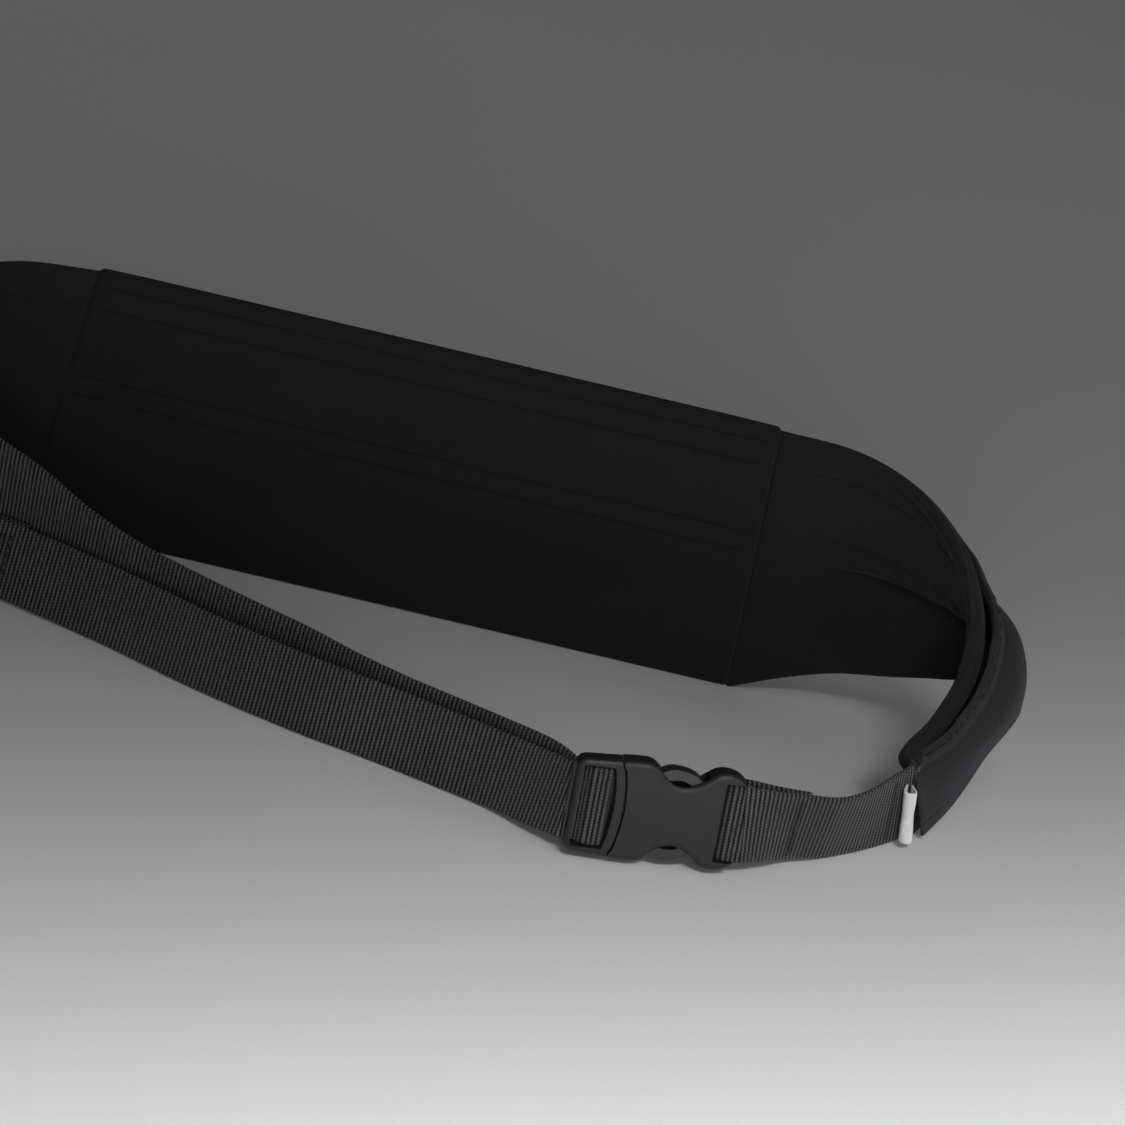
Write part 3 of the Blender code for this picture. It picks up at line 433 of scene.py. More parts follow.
class Cloth:
    """A sheet of cloth: a middle surface over (u, v) from 0 to 1 with thickness and relief."""

    def __init__(self, middle, side, length, height, half, relief):
        self.middle = middle
        self.side = side
        self.length = length
        self.height = height
        self.half = half
        self.relief = relief

    def frame(self, u, v):
        step = 2e-3
        du = self.middle(u + step, v) - self.middle(u - step, v)
        dv = self.middle(u, v + step) - self.middle(u, v - step)
        outward = unit(np.cross(du, dv)) * self.side
        return self.middle(u, v), outward, unit(du), unit(dv)

    def shifted(self, u, v):
        """Middle surface with its large folds, and its frame."""
        place, outward, along, up = self.frame(u, v)
        return place + outward * self.relief(u, v)[..., None], outward, along, up

    def face(self, u, v, sign):
        """Points on the inner (sign -1) or outer (sign 1) face."""
        place, outward, along, up = self.shifted(u, v)
        return place + outward * (sign * self.half(u, v, sign))[..., None], outward * sign, along, up

    def build(self, name, columns, rows, material, body):
        u, v = np.meshgrid(np.linspace(0, 1, columns), np.linspace(0, 1, rows), indexing="ij")
        inner = self.face(u, v, -1)[0]
        outer = self.face(u, v, 1)[0]
        up = self.shifted(u, v)[3]
        arcs = []
        for end, sign in ((-1, 1), (0, -1)):
            first, last = (inner[:, end], outer[:, end]) if end else (outer[:, end], inner[:, end])
            centre = (first + last) / 2
            reach = np.linalg.norm(first - last, axis=1, keepdims=True) / 2
            arc = [centre + (first - centre) * cos(a) + up[:, end] * sign * reach * sin(a)
                   for a in np.radians((30, 60, 90, 120, 150))]
            arcs.append(np.stack(arc, axis=1))
        rings = np.concatenate([inner, arcs[0], outer[:, ::-1], arcs[1]], axis=1)
        along = np.linspace(0, self.length, columns)
        drop = np.linspace(0, self.height, rows)
        edge = np.arange(1, 6) * 0.5
        around = np.concatenate([drop, self.height + edge, self.height + 3 + drop, 2 * self.height + 3 + edge,
                                 [2 * self.height + 6]])
        return sweep(name, rings, along, around, material, body)


ROWS = (0.950, 0.865, 0.600, 0.525)


def row_relief(u, v, length, height, seed):
    """Grooves and puckers that the sewn rows press into the cloth."""
    total = 0.0
    for k, row in enumerate(ROWS):
        distance = (v - row) * height
        total = total - 0.26 * hump(distance, 0, 0.9)
        pull = 0.5 + 0.5 * waves(u * length, distance, seed + k, 24.0)
        sway = 3 * waves(u * length, 0, seed + 9 + k, 40)
        total = total + 0.10 * np.sin(2 * pi * u * length / 5.2 + sway) * hump(distance, 0, 3.0) * pull
    return total


def seam_round(u, length, radius=1.6, low=0.25):
    """Share of the thickness left near the two sewn ends of a panel."""
    distance = np.minimum(u, 1 - u) * length
    t = np.clip(distance / radius, 0, 1)
    return low + (1 - low) * np.sqrt(1 - (1 - t) ** 2)


# Back panel, the part of the belt that lies on the wearer
HEIGHT = 97.0
LENGTH = 231.0


def panel_x(u, z):
    left = -123.5 + 11.5 * z / HEIGHT
    right = 115.5 - 3.5 * z / HEIGHT
    return left + (right - left) * u


def back_middle(u, v):
    z = 1.2 * (1 - v) + v * HEIGHT
    return np.stack([panel_x(u, z), np.zeros_like(u), z], axis=-1)


def back_relief(u, v):
    return 0.28 * waves(u * LENGTH, v * HEIGHT, 5, 70.0) * ease(v / 0.1) * (0.4 + 0.6 * (1 - v))


def back_half(u, v, sign):
    bands = 0.25 * hump(v, 0.907, 0.03) + 0.25 * hump(v, 0.562, 0.03)
    top = 0.55 + 0.45 * np.sqrt(1 - (1 - np.clip((1 - v) * HEIGHT / 2.2, 0, 1)) ** 2)
    return (1.2 + row_relief(u, v, LENGTH, HEIGHT, 3) + bands) * seam_round(u, LENGTH) * top


BACK = Cloth(back_middle, -1, LENGTH, HEIGHT, back_half, back_relief)


# Wings, ruled between a top and a bottom edge that curl forward
RIGHT_TOP = [(111.8, 0, 97), (134, -2, 97.3), (150, -6, 95), (165, -12, 89), (177, -19, 78),
             (183.5, -28, 62), (184, -39, 47), (179, -49, 36), (173.8, -57, 30.5), (172.0, -63.5, 28.5)]
RIGHT_BOTTOM = [(115.3, 0, 0), (133, -0.5, 9), (149, -1, 15.4), (165, -3, 20), (182, -7, 26.5),
                (199, -12, 32), (206.5, -21, 29), (197.5, -36.5, 17), (188.5, -51.5, 5.5), (181, -64.5, 1.0)]
LEFT_TOP = [(-111.8, 0, 97), (-138, -0.5, 94), (-162, -1.5, 85), (-181, -7, 75), (-190.5, -19, 68),
            (-185, -31, 63), (-172, -35, 60), (-158, -35.5, 58.2)]
LEFT_BOTTOM = [(-123.3, 0, 0), (-143, -0.5, 5), (-164, -1.5, 13), (-181, -7, 22), (-190.5, -19, 28),
               (-185, -31, 31), (-172, -35, 32.3), (-158, -35.5, 32.8)]


class WingShape:
    """Middle surface of a wing; side is 1 for the right one and -1 for the left one."""

    def __init__(self, side, top, bottom, length):
        self.side = side
        self.top = top
        self.bottom = bottom
        self.length = length

    def edges(self, u):
        return catmull(self.top, u), catmull(self.bottom, u)

    def normal(self, u):
        step = 4e-3
        t0, b0 = self.edges(u - step)
        t1, b1 = self.edges(u + step)
        top, bottom = self.edges(u)
        return unit(np.cross(top - bottom, t1 + b1 - t0 - b0)) * self.side

    def middle(self, u, v):
        top, bottom = self.edges(u)
        share = np.clip(u, 0, 1)
        belly = np.sin(pi * np.clip(v, 0, 1)) * 2.0 * ease(share * 4) * (1 - ease(share))
        return bottom + (top - bottom) * v[..., None] + self.normal(u) * belly[..., None]

    def local_height(self, u):
        top, bottom = self.edges(u)
        return np.linalg.norm(top - bottom, axis=-1)

    def stand_off(self, u, v):
        mouth = 8.5 * ease(u / 0.16) * (1 - ease((u - 0.76) / 0.24))
        strap = 1.7 * ease((u - 0.74) / 0.14)
        return 2.0 + mouth * np.sin(pi / 2 * np.minimum(1.0, v * 1.25)) + strap


RIGHT = WingShape(1, RIGHT_TOP, RIGHT_BOTTOM, 128.0)
LEFT = WingShape(-1, LEFT_TOP, LEFT_BOTTOM, 118.0)


def wing_relief(shape, seed, fold):
    """Large folds of a wing: a valley under the lower sewn rows, a swell below it, soft sag elsewhere."""
    def relief(u, v):
        height = shape.local_height(u)
        along = u * shape.length
        crease = 0.485 - 0.03 * u + 0.006 * waves(along, 0, seed + 3, 34.0)
        below = (crease - v) * height
        strength = fold * ease((u - 0.03) / 0.34) * (1 - 0.4 * ease((u - 0.82) / 0.18))
        notch = hump(below, 0.0, 1.2 + 0.9 * u)
        recess = np.exp(-np.maximum(below, 0) / 10.0) * ease((below + 2.2) / 4.4)
        swell = -1.1 * hump(below, 24.0, 12.0)
        soft = 0.75 * waves(along, v * height, seed, 55.0) * ease(u * 6) * ease((1 - u) * 5)
        tucks = 0.34 * np.sin(2 * pi * along / 6.5 + 2 * waves(along, 0, seed + 1, 30)) \
            * hump(v, 0.545, 0.055) * ease((u - 0.12) / 0.15) * (1 - ease((u - 0.6) / 0.25))
        drag = 0.3 * np.sin(2 * pi * (along + below * 0.8) / 13.0) * hump(below, 12.0, 9.0) \
            * ease((u - 0.15) / 0.2) * (1 - ease((u - 0.7) / 0.2))
        return strength * (2.7 * notch + 1.6 * recess + swell) + (soft + tucks + drag) * ease(v / 0.12)
    return relief


def wing_half(shape, seed, thick):
    """Half thickness of a wing: two plies, and a top edge rolled over itself like a soft tube."""
    def half(u, v, sign):
        height = shape.local_height(u)
        drop = (1 - v) * height
        grow = ease((u - 0.04) / 0.5)
        size = (1.1 + (thick - 1.1) * grow) * (1.0 if sign > 0 else 0.62)
        size = size * (1 + 0.07 * waves(u * shape.length, 0, seed + 5, 26.0) * grow)
        size = size * (1 + 0.35 * ease((u - 0.78) / 0.18))
        size = size * seam_round(np.minimum(1 - u, 0.5), shape.length, 5.0)
        reach = 1.1 + (thick - 1.1) * grow
        tube = size * np.sqrt(np.clip(1 - (1 - np.clip(drop / reach, 0, 1)) ** 2, 0.02, 1))
        fall = ease((drop - reach * 1.15) / (reach * 0.9))
        ends = seam_round(u, shape.length)
        flat = 0.8 + row_relief(u, v, shape.length, height, seed) * (1 - 0.85 * ease((u - 0.3) / 0.35))
        return (tube * (1 - fall) + flat * fall) * ends
    return half


def wing_cloth(shape, seed, fold, thick):
    return Cloth(shape.middle, -shape.side, shape.length, HEIGHT, wing_half(shape, seed, thick),
                 wing_relief(shape, seed, fold))


RIGHT_CLOTH = wing_cloth(RIGHT, 21, 1.0, 3.7)
LEFT_CLOTH = wing_cloth(LEFT, 41, 0.7, 3.2)


def pouch_cloth(shape, seed):
    """Outer layer of a wing: an open-topped pocket that swells out and closes up to the rolled edge."""
    def middle(u, v):
        inner = np.clip(u, 0, 1)
        top = 0.885 + 0.045 * ease((inner - 0.45) / 0.35)
        share = v * top
        level = np.clip(v, 0, 1)
        off = shape.stand_off(inner, level * top)
        mouth = 5.4 * ease(inner / 0.2) * (1 - ease((inner - 0.8) / 0.2)) + 2.0
        pull = ease((level - 0.55) / 0.42)
        off = off * (1 - pull) + np.minimum(off, mouth) * pull
        swell = 2.2 * np.sin(pi * np.clip(level * 1.05, 0, 1)) ** 2
        swell = swell * ease((inner - 0.2) / 0.3) * (1 - ease((inner - 0.75) / 0.25))
        return shape.middle(u, share) + shape.normal(u) * (off + swell)[..., None]

    def relief(u, v):
        height = shape.local_height(u)
        drape = 0.8 * waves(u * shape.length * 1.6, v * height * 0.5, seed, 42.0)
        sway = 2 * waves(u * shape.length, 0, seed + 2, 40)
        gather = 0.16 * np.sin(2 * pi * u * shape.length / 9.0 + sway) \
            * hump(v, 1.0, 0.10)
        hold = ease(u * 6) * ease((1 - u) * 5) * ease(v / 0.15)
        return (drape * (1 - 0.7 * ease((v - 0.8) / 0.2)) + gather) * hold

    def half(u, v, sign):
        height = shape.local_height(u) * 0.9
        drop = (1 - v) * height
        edge = 0.6 + 0.75 * (1 - ease((drop - 3.2) / 1.6))
        edge = edge * np.sqrt(np.clip(1 - (1 - np.clip(drop / 1.3, 0, 1)) ** 2, 0.1, 1))
        groove = -0.25 * hump(drop, 5.4, 0.6) - 0.25 * hump(v * height, 4.0, 0.7)
        return (edge + groove) * seam_round(u, shape.length)

    return Cloth(middle, -shape.side, shape.length, HEIGHT * 0.9, half, relief)


RIGHT_POUCH = pouch_cloth(RIGHT, 61)
LEFT_POUCH = pouch_cloth(LEFT, 81)


# Outer panel of the centre module, in two spans round the zip: foot and top of each
LOWER_SPAN = (0.7, 66.8)
UPPER_SPAN = (73.2, 96.4)
PROFILE = [(0.7, 0.00), (3.0, 0.22), (8.0, 0.55), (15.0, 0.84), (24.0, 0.985), (30.0, 1.0),
           (46.0, 1.0), (64.0, 1.0), (78.0, 1.0), (83.5, 0.93), (88.8, 0.68), (93.2, 0.30), (96.2, 0.00)]


def outer_depth(z, u):
    heights, depths = zip(*PROFILE)
    share = sum(np.interp(z + shift, heights, depths) for shift in (-1.6, -0.8, 0, 0.8, 1.6)) / 5
    position = np.abs(u * 2 - 1) * 112.0
    return 2.3 + 10.1 * share * (1 - ease((position - 94.0) / 18.0))


def outer_cloth(low, high, seed):
    def middle(u, v):
        z = low + (high - low) * v
        return np.stack([panel_x(u, z) + 0.5 - u, outer_depth(z, u), z], axis=-1)

    def relief(u, v):
        z = low + (high - low) * v
        x = u * LENGTH
        calm = ease(u * 10) * ease((1 - u) * 10) * ease((z - 2) / 12.0) * ease((95 - z) / 8.0)
        calm = calm * (1 - 0.85 * hump(z, 70, 7))
        radiate = 0.35 * np.sin(x / 7.5 + 2 * waves(x, z, seed + 1, 60)) * (hump(z, 12, 8) + hump(z, 90, 5))
        return (0.75 * waves(x, z * 1.3, seed, 52.0) + radiate) * calm

    def half(u, v, sign):
        z = low + (high - low) * v
        rows = -0.2 * sum(hump(z, level, 0.7) for level in (ROWS[0] * HEIGHT, 61.8, 78.2, 5.0))
        return (0.7 + rows) * seam_round(u, LENGTH)

    return Cloth(middle, -1, LENGTH, high - low, half, relief)


OUTER_LOWER = outer_cloth(*LOWER_SPAN, 101)
OUTER_UPPER = outer_cloth(*UPPER_SPAN, 102)


# ---------------------------------------------------------------- stitching

def capsule(sides=6):
    """Rings of a unit stitch along x from -0.5 to 0.5, radius 1 before scaling."""
    spots = [(-0.5, 0.25), (-0.38, 0.85), (0.0, 1.0), (0.38, 0.85), (0.5, 0.25)]
    ring = [(cos(2 * pi * k / sides), sin(2 * pi * k / sides)) for k in range(sides)]
    points = [(x, r * y, r * z) for x, r in spots for y, z in ring]
    return np.array(points), ring_faces(len(spots), sides)


def stitches(name, runs, body, material=THREAD, radius=0.21, length=2.1):
    """One object of many stitches; each run is (places, directions, normals)."""
    template, template_faces = capsule()
    points, faces, start = [], [], 0
    for places, directions, normals in runs:
        side = unit(np.cross(normals, directions))
        for place, d, s, n in zip(places, directions, side, normals):
            local = template * np.array([length, radius, radius * 0.8])
            points.append(place + local[:, :1] * d + local[:, 1:2] * s + local[:, 2:3] * n)
            faces.extend([tuple(start + k for k in face) for face in template_faces])
            start += len(template)
    obj = mesh_from(name, np.concatenate(points), faces, None, material, body)
    return obj


def row_run(cloth, u0, u1, v, sign, pitch=3.05, sink=0.05):
    """Stitches along a row of constant v on a face of the cloth."""
    count = int(cloth.length * abs(u1 - u0) / pitch)
    u = u0 + (u1 - u0) * (np.arange(count) + 0.5) / count
    level = np.full_like(u, v)
    place, normal, along, _ = cloth.face(u, level, sign)
    return place + normal * (0.21 * 0.8 - sink), along, normal


# Name, cloth, columns and rows of its mesh, knit, and the CAD nodes that it is seen instead of
COVERS = (
    ("back_cover", BACK, 410, 118, KNIT, ["back_panel"]),
    ("wing_cover_right", RIGHT_CLOTH, 290, 165, KNIT, ["wing_inner_right", "wing_hem_right"]),
    ("wing_cover_left", LEFT_CLOTH, 260, 150, KNIT, ["wing_inner_left", "wing_hem_left"]),
    ("wing_pouch_right", RIGHT_POUCH, 240, 80, OUTER, ["wing_pocket_right", "pocket_binding_right"]),
    ("wing_pouch_left", LEFT_POUCH, 220, 80, OUTER, ["wing_pocket_left", "pocket_binding_left"]),
    ("outer_cover_lower", OUTER_LOWER, 320, 80, OUTER, ["outer_panel_lower"]),
    ("outer_cover_upper", OUTER_UPPER, 320, 40, OUTER, ["outer_panel_upper"]))


def span_share(span, height):
    """Share of a span of the outer panel at a height."""
    return (height - span[0]) / (span[1] - span[0])


def make_covers():
    for name, cloth, columns, rows, fabric, nodes in COVERS:
        show(cloth.build(name, columns, rows, fabric, "pack"), "stretch_knit", *nodes)


def make_sewn_rows():
    runs = [row_run(BACK, 0.012, 0.988, v, -1) for v in ROWS]
    for cloth in (RIGHT_CLOTH, LEFT_CLOTH):
        runs.append(row_run(cloth, 0.02, 0.60, ROWS[1], -1))
        runs.append(row_run(cloth, 0.02, 0.42, ROWS[2], -1))
    stitches("topstitch_inner", runs, "pack", THREAD, 0.19, 2.3)
    hem = 1 - 5.2 / 88.0
    runs = [row_run(cloth, u, 1 - u, v, 1) for cloth, u, v in (
        (OUTER_UPPER, 0.015, span_share(UPPER_SPAN, ROWS[0] * HEIGHT)),
        (OUTER_UPPER, 0.09, span_share(UPPER_SPAN, 78.2)), (OUTER_LOWER, 0.09, span_share(LOWER_SPAN, 61.8)),
        (OUTER_LOWER, 0.015, span_share(LOWER_SPAN, 5.0)), (RIGHT_POUCH, 0.03, hem), (LEFT_POUCH, 0.03, hem))]
    stitches("topstitch_outer", runs, "pack")


# ---------------------------------------------------------------- webbing

WIDTH = 25.4
THICK = 1.4
BUCKLE_YAW = radians(10.8)
BUCKLE_LEAN = radians(13.0)
BUCKLE_PLACE = (Matrix.Translation(Vector((98.8, -110.9, 17.2)))
                @ Matrix.Rotation(BUCKLE_YAW, 4, "Z") @ Matrix.Rotation(-BUCKLE_LEAN, 4, "X"))
PLACE = np.array(BUCKLE_PLACE)


def from_buckle(points):
    points = np.asarray(points, float)
    return points @ PLACE[:3, :3].T + PLACE[:3, 3]


def in_buckle(x, y):
    point = from_buckle([(x, y, -WIDTH / 2)])[0]
    return (*point, BUCKLE_LEAN * 180 / pi)


STRAP_RIGHT = [in_buckle(28.1, -2.5), (134.0, -105.6, 4.2, 5), (142.0, -98.0, 2.5, -3),
               (152.0, -90.8, 1.0, -8), (161.0, -83.7, 0.5, -5), (169.0, -76.6, 0.3, 2),
               (176.0, -69.6, 0.4, 8)]
TAIL = [in_buckle(-28.8, 0.1), (61.5, -113.6, 3.0, 13), (47.0, -105.4, 0.9, 12),
        (30.0, -99.8, 0.3, 12), (8.0, -93.6, 0.2, 13), (-18.0, -87.4, 0.2, 14), (-50.0, -77.2, 0.2, 15),
        (-84.0, -63.6, 0.3, 16), (-118.0, -52.6, 0.8, 16), (-137.0, -47.6, 0.8, 14)]
LOAD = [in_buckle(-28.8, 2.4), (60.8, -108.4, 4.4, 13), (46.0, -100.2, 3.0, 11),
        (29.6, -94.0, 2.2, 12), (12.6, -88.2, 2.0, 12), (-4.4, -82.6, 2.6, 13), (-21.0, -76.6, 4.0, 13),
        (-38.0, -70.8, 4.9, 12), (-58.0, -63.6, 5.9, 11), (-80.0, -55.4, 8.2, 8), (-98.0, -48.4, 13.2, 4),
        (-114.0, -42.6, 20.0, 2), (-130.0, -38.6, 25.6, 0), (-146.0, -36.2, 30.6, 0),
        (-156.6, -35.5, 32.6, 0)]


def web_frames(route, backwards):
    """Lower edge, up and thickness direction of the webbing at each point of a route."""
    place = route[:, :3]
    along = np.gradient(place, axis=0)
    if backwards:
        along = -along
    level = unit(along * np.array([1, 1, 0]))
    inward = np.stack([-level[:, 1], level[:, 0], np.zeros(len(level))], axis=1)
    lean = np.radians(route[:, 3])[:, None]
    up = inward * np.sin(lean) + np.array([0, 0, 1]) * np.cos(lean)
    across = unit(np.cross(up, along))
    return place, up, across


def web_profile(steps=16):
    """Offsets (across the thickness, up the width) round a section, and the distance round it."""
    half = THICK / 2
    rise = half + (WIDTH - THICK) * np.linspace(0, 1, steps + 1)
    top = [(-half * cos(a), WIDTH - half + half * sin(a)) for a in np.radians((45, 90, 135))]
    foot = [(-half * cos(a), half + half * sin(a)) for a in np.radians((225, 270, 315))]
    profile = [(-half, z) for z in rise] + top + [(half, z) for z in rise[::-1]] + foot
    return profile, distances(np.array(profile + profile[:1]))


def webbing(name, place, up, across, body, nodes):
    """Ribbed webbing through frames, as one piece that stands in for the given nodes."""
    distance = distances(place)
    profile, around = web_profile()
    crown = np.abs(np.sin(pi * distance / RIB)) ** 0.7 - 0.6
    rings = []
    for x, z in profile:
        outward = 0.14 * crown * (1.0 if abs(x) > 0.4 else 0.6)
        sign = np.sign(x) if abs(x) > 1e-6 else 0.0
        edge = float(z > WIDTH - 0.5) - float(z < 0.5)
        sideways = across * (x + sign * outward)[:, None]
        rings.append(place + sideways + up * (z + edge * 1.2 * outward)[:, None])
    obj = sweep(name, np.stack(rings, axis=1), distance, around, WEB, body)
    show(obj, "webbing", *nodes)
    return obj


def chain(points, spacing=RIB / 4):
    """Even points along straight runs and arcs given as (x, y) in the buckle's frame."""
    points = np.array(points, float)
    length = distances(points)
    count = max(3, int(length[-1] / spacing) + 1)
    distance = np.linspace(0, length[-1], count)
    return np.column_stack([np.interp(distance, length, points[:, k]) for k in (0, 1)])


def chain_frames(points):
    """Webbing frames for a chain in the buckle's frame that runs towards its -x end or turns."""
    heading = np.gradient(points, axis=0)
    heading = heading / np.linalg.norm(heading, axis=1, keepdims=True)
    side = np.stack([-heading[:, 1], heading[:, 0], np.zeros(len(points))], axis=1)
    place = from_buckle(np.column_stack([points, np.full(len(points), -WIDTH / 2)]))
    across = side @ PLACE[:3, :3].T
    return place, np.broadcast_to(PLACE[:3, 2], across.shape), across


def arc(centre, radius, start, stop, count=14):
    turns = np.radians(np.linspace(start, stop, count + 1))
    return [(centre[0] + radius * cos(a), centre[1] + radius * sin(a)) for a in turns]


def join_frames(*parts):
    return tuple(np.concatenate([part[k] for part in parts]) for k in range(3))


FLAT = np.array([1, 1, 0])
HEM = 21.0
HEM_ROWS = (17.0, 14.2)
HEM_STITCH = 2.9
LOOP_START = 2.8


def make_fixed_strap():
    """Rear stitched layer, round the socket's bar, then the long front layer."""
    route, distance = even_route(STRAP_RIGHT + [(180.5, -64.6, 0.8, 9)], RIB / 4)
    place, up, across = web_frames(route, False)
    clear = int(np.argmax(distance > LOOP_START))
    count = int(np.argmax(place[:, 0] > 144.5))
    spread = 1.7 + 3.3 * (1 - ease((distance[:count] - LOOP_START) / (distance[count] - LOOP_START)))
    layer = place[:count] + unit(across * FLAT)[:count] * spread[:, None]
    rear = (layer[clear:][::-1], up[clear:count][::-1], -across[clear:count][::-1])
    turn = chain([(30.4, 2.5), (27.0, 2.5)] + arc((23.3, 0), 2.5, 90, 270) + [(27.8, -2.5)])
    full = join_frames(rear, chain_frames(turn), (place, up, across))
    webbing("strap_fixed", *full, "pack", ["strap_right"])


def make_adjustable_strap():
    """From the left wing to the rear of the plug's ladder bar, in one piece that is not attached to a body.
    """
    route, _ = even_route(LOAD + [(-162.0, -35.6, 33.0, 0)], RIB / 4)
    place, up, across = web_frames(route, True)
    start = chain([(-19.4, 2.1), (-28.4, 2.2)])
    full = join_frames(chain_frames(start), (place, up, -across))
    load = webbing("strap_adjustable", *full, None, ["strap_load_near", "strap_load_far"])
    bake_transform(load)


def make_free_end():
    """Over the ladder bar, out of the window and along to a folded, stitched hem."""
    route, distance = even_route(TAIL, RIB / 4)
    place, up, across = web_frames(route, True)
    over = [(-16.1, 1.9)] + arc((-18.0, -0.55), 2.35, 42, -90) + arc((-20.5, -0.55), 2.35, -90, -150, 8)
    start = chain(over + [(-23.4, -0.85), (-24.2, -0.15), (-25.2, 0.1), (-28.4, 0.1)])
    hem = int(np.argmax(distance > distance[-1] - HEM))
    inward = unit(across * FLAT)
    back = place[hem:][::-1] + inward[hem:][::-1] * 1.62
    ahead = unit(place[-1] - place[-4])
    turns = np.radians(np.linspace(20, 160, 8))[:, None]
    fold = place[-1] + inward[-1] * 0.81 * (1 - np.cos(turns)) + ahead * 0.81 * np.sin(turns)
    side = ahead * np.sin(turns) - across[-1] * np.cos(turns)
    full = join_frames(chain_frames(start), (place, up, -across),
                       (fold, np.repeat(up[-1:], 8, 0), side), (back, up[hem:][::-1], across[hem:][::-1]))
    webbing("strap_free_end", *full, "plug", ["strap_bight", "strap_tail", "strap_tail_hem"])
    runs = []
    count = int((WIDTH - 3) / HEM_STITCH)
    heights = 1.5 + HEM_STITCH * (np.arange(count) + 0.5)
    for shift in HEM_ROWS:
        index = int(np.argmax(distance > distance[-1] - shift))
        spots = place[index] + up[index] * heights[:, None] - across[index] * 0.86
        runs.append((spots, np.repeat(up[index][None], count, 0), np.repeat(-across[index][None], count, 0)))
    stitches("hem_stitch", runs, "plug", THREAD, 0.2, 2.2)


def make_bartacks():
    """Dense zigzags of thread that hold each strap, as thin ridged bars."""
    right = even_route(STRAP_RIGHT, 0.5)[0]
    left = even_route(LOAD, 0.5)[0]
    spots = [("bartack_loop_thread", right, int(np.argmax(right[:, 0] > 141.5)), False, "bartack_loop"),
             ("bartack_right_thread", right, len(right) - 12, False, "bartack_right"),
             ("bartack_left_thread", left, len(left) - 12, True, "bartack_left")]
    for name, route, index, backwards, node in spots:
        place, up, across = web_frames(route, backwards)
        along = unit(np.cross(across, up))[index]
        runs = []
        rows = np.arange(34)
        for row in (-0.55, 0.55):
            centre = place[index] + along * row - across[index] * 0.80
            spots_here = centre + up[index] * (2.2 + 0.62 * rows)[:, None]
            tilt = unit(along + up[index] * 0.35)
            runs.append((spots_here, np.repeat(tilt[None], 34, 0), np.repeat(-across[index][None], 34, 0)))
        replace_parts(stitches(name, runs, "pack", STRAP_THREAD, 0.14, 1.3), node)


# ---------------------------------------------------------------- rigid pieces

def rounded(outline, radius, count=6):
    """Outline with each corner replaced by an arc of about the given radius (or per-point radius)."""
    points = [np.array(p[:2], float) for p in outline]
    radii = [p[2] if len(p) > 2 else radius for p in outline]
    result = []
    for k, point in enumerate(points):
        before = points[k - 1] - point
        after = points[(k + 1) % len(points)] - point
        reach = min(radii[k], 0.45 * np.linalg.norm(before), 0.45 * np.linalg.norm(after))
        start = point + before / np.linalg.norm(before) * reach
        stop = point + after / np.linalg.norm(after) * reach
        for step in range(count + 1):
            t = step / count
            result.append(tuple((1 - t) ** 2 * start + 2 * t * (1 - t) * point + t * t * stop))
    return result


def rectangle(x0, z0, x1, z1):
    return [(x0, z0), (x1, z0), (x1, z1), (x0, z1)]


def prism_points(outline, low, high):
    """Points and faces of a prism over an (x, z) outline from y = low to y = high."""
    points = [(x, y, z) for y in (low, high) for x, z in outline]
    return np.array(points), ring_faces(2, len(outline))


def box_points(low, high):
    return prism_points(rectangle(low[0], low[2], high[0], high[2]), low[1], high[1])


def solid(name, points, faces, material, steps, body, place=None, smooth=38):
    """Body from points in its own frame after a list of modifier steps, applied in order."""
    obj = mesh_from(name, points, faces, None, material, None)
    cutters = []
    for kind, *values in steps:
        if kind == "bevel":
            modifier = obj.modifiers.new("edge", "BEVEL")
            modifier.width = values[0] * MM
            modifier.segments = values[1]
            modifier.limit_method = "ANGLE"
            modifier.angle_limit = radians(values[2])
            modifier.use_clamp_overlap = True
            modifier.miter_outer = "MITER_ARC"
        else:
            cutter = mesh_from(name + "_cutter", values[0], values[1], None, material, None)
            cutters.append(cutter)
            modifier = obj.modifiers.new("cut", "BOOLEAN")
            modifier.operation = kind
            modifier.object = cutter
            modifier.solver = "EXACT"
    bpy.context.view_layer.update()
    graph = bpy.context.evaluated_depsgraph_get()
    mesh = bpy.data.meshes.new_from_object(obj.evaluated_get(graph))
    old = obj.data
    obj.modifiers.clear()
    obj.data = mesh
    bpy.data.meshes.remove(old)
    for cutter in cutters:
        bpy.data.objects.remove(cutter)
    if place is not None:
        mesh.transform(place)
    mesh.shade_smooth()
    mesh.set_sharp_from_angle(angle=radians(smooth))
    weighted = obj.modifiers.new("normals", "WEIGHTED_NORMAL")
    weighted.keep_sharp = True
    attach(obj, body)
    return obj


BUCKLE = BUCKLE_PLACE.copy()
BUCKLE.translation = BUCKLE_PLACE.translation * MM


def mouth(gap, half, count=24):
    """Points of the curved joint line between plug and socket, from z = -half to half."""
    z = np.linspace(-half, half, count + 1)
    return [(-13.4 + 2.5 * (1 - (level / 16.3) ** 2) + gap, level) for level in z]


# Upper edge of the socket: collar, scallop that bares the spring arm, and ear
SOCKET_EDGE = [(-13.05, 16.0), (-9.0, 16.3), (-5.2, 16.3), (-3.2, 15.7), (-1.3, 14.3), (0.4, 12.6),
               (2.4, 11.0), (4.6, 10.2), (6.6, 10.0), (8.6, 10.4), (10.8, 11.4), (12.8, 12.8),
               (14.8, 14.4), (16.8, 15.6), (19.2, 16.0), (21.8, 15.7), (24.2, 14.7), (25.8, 13.4),
               (26.5, 12.2)]


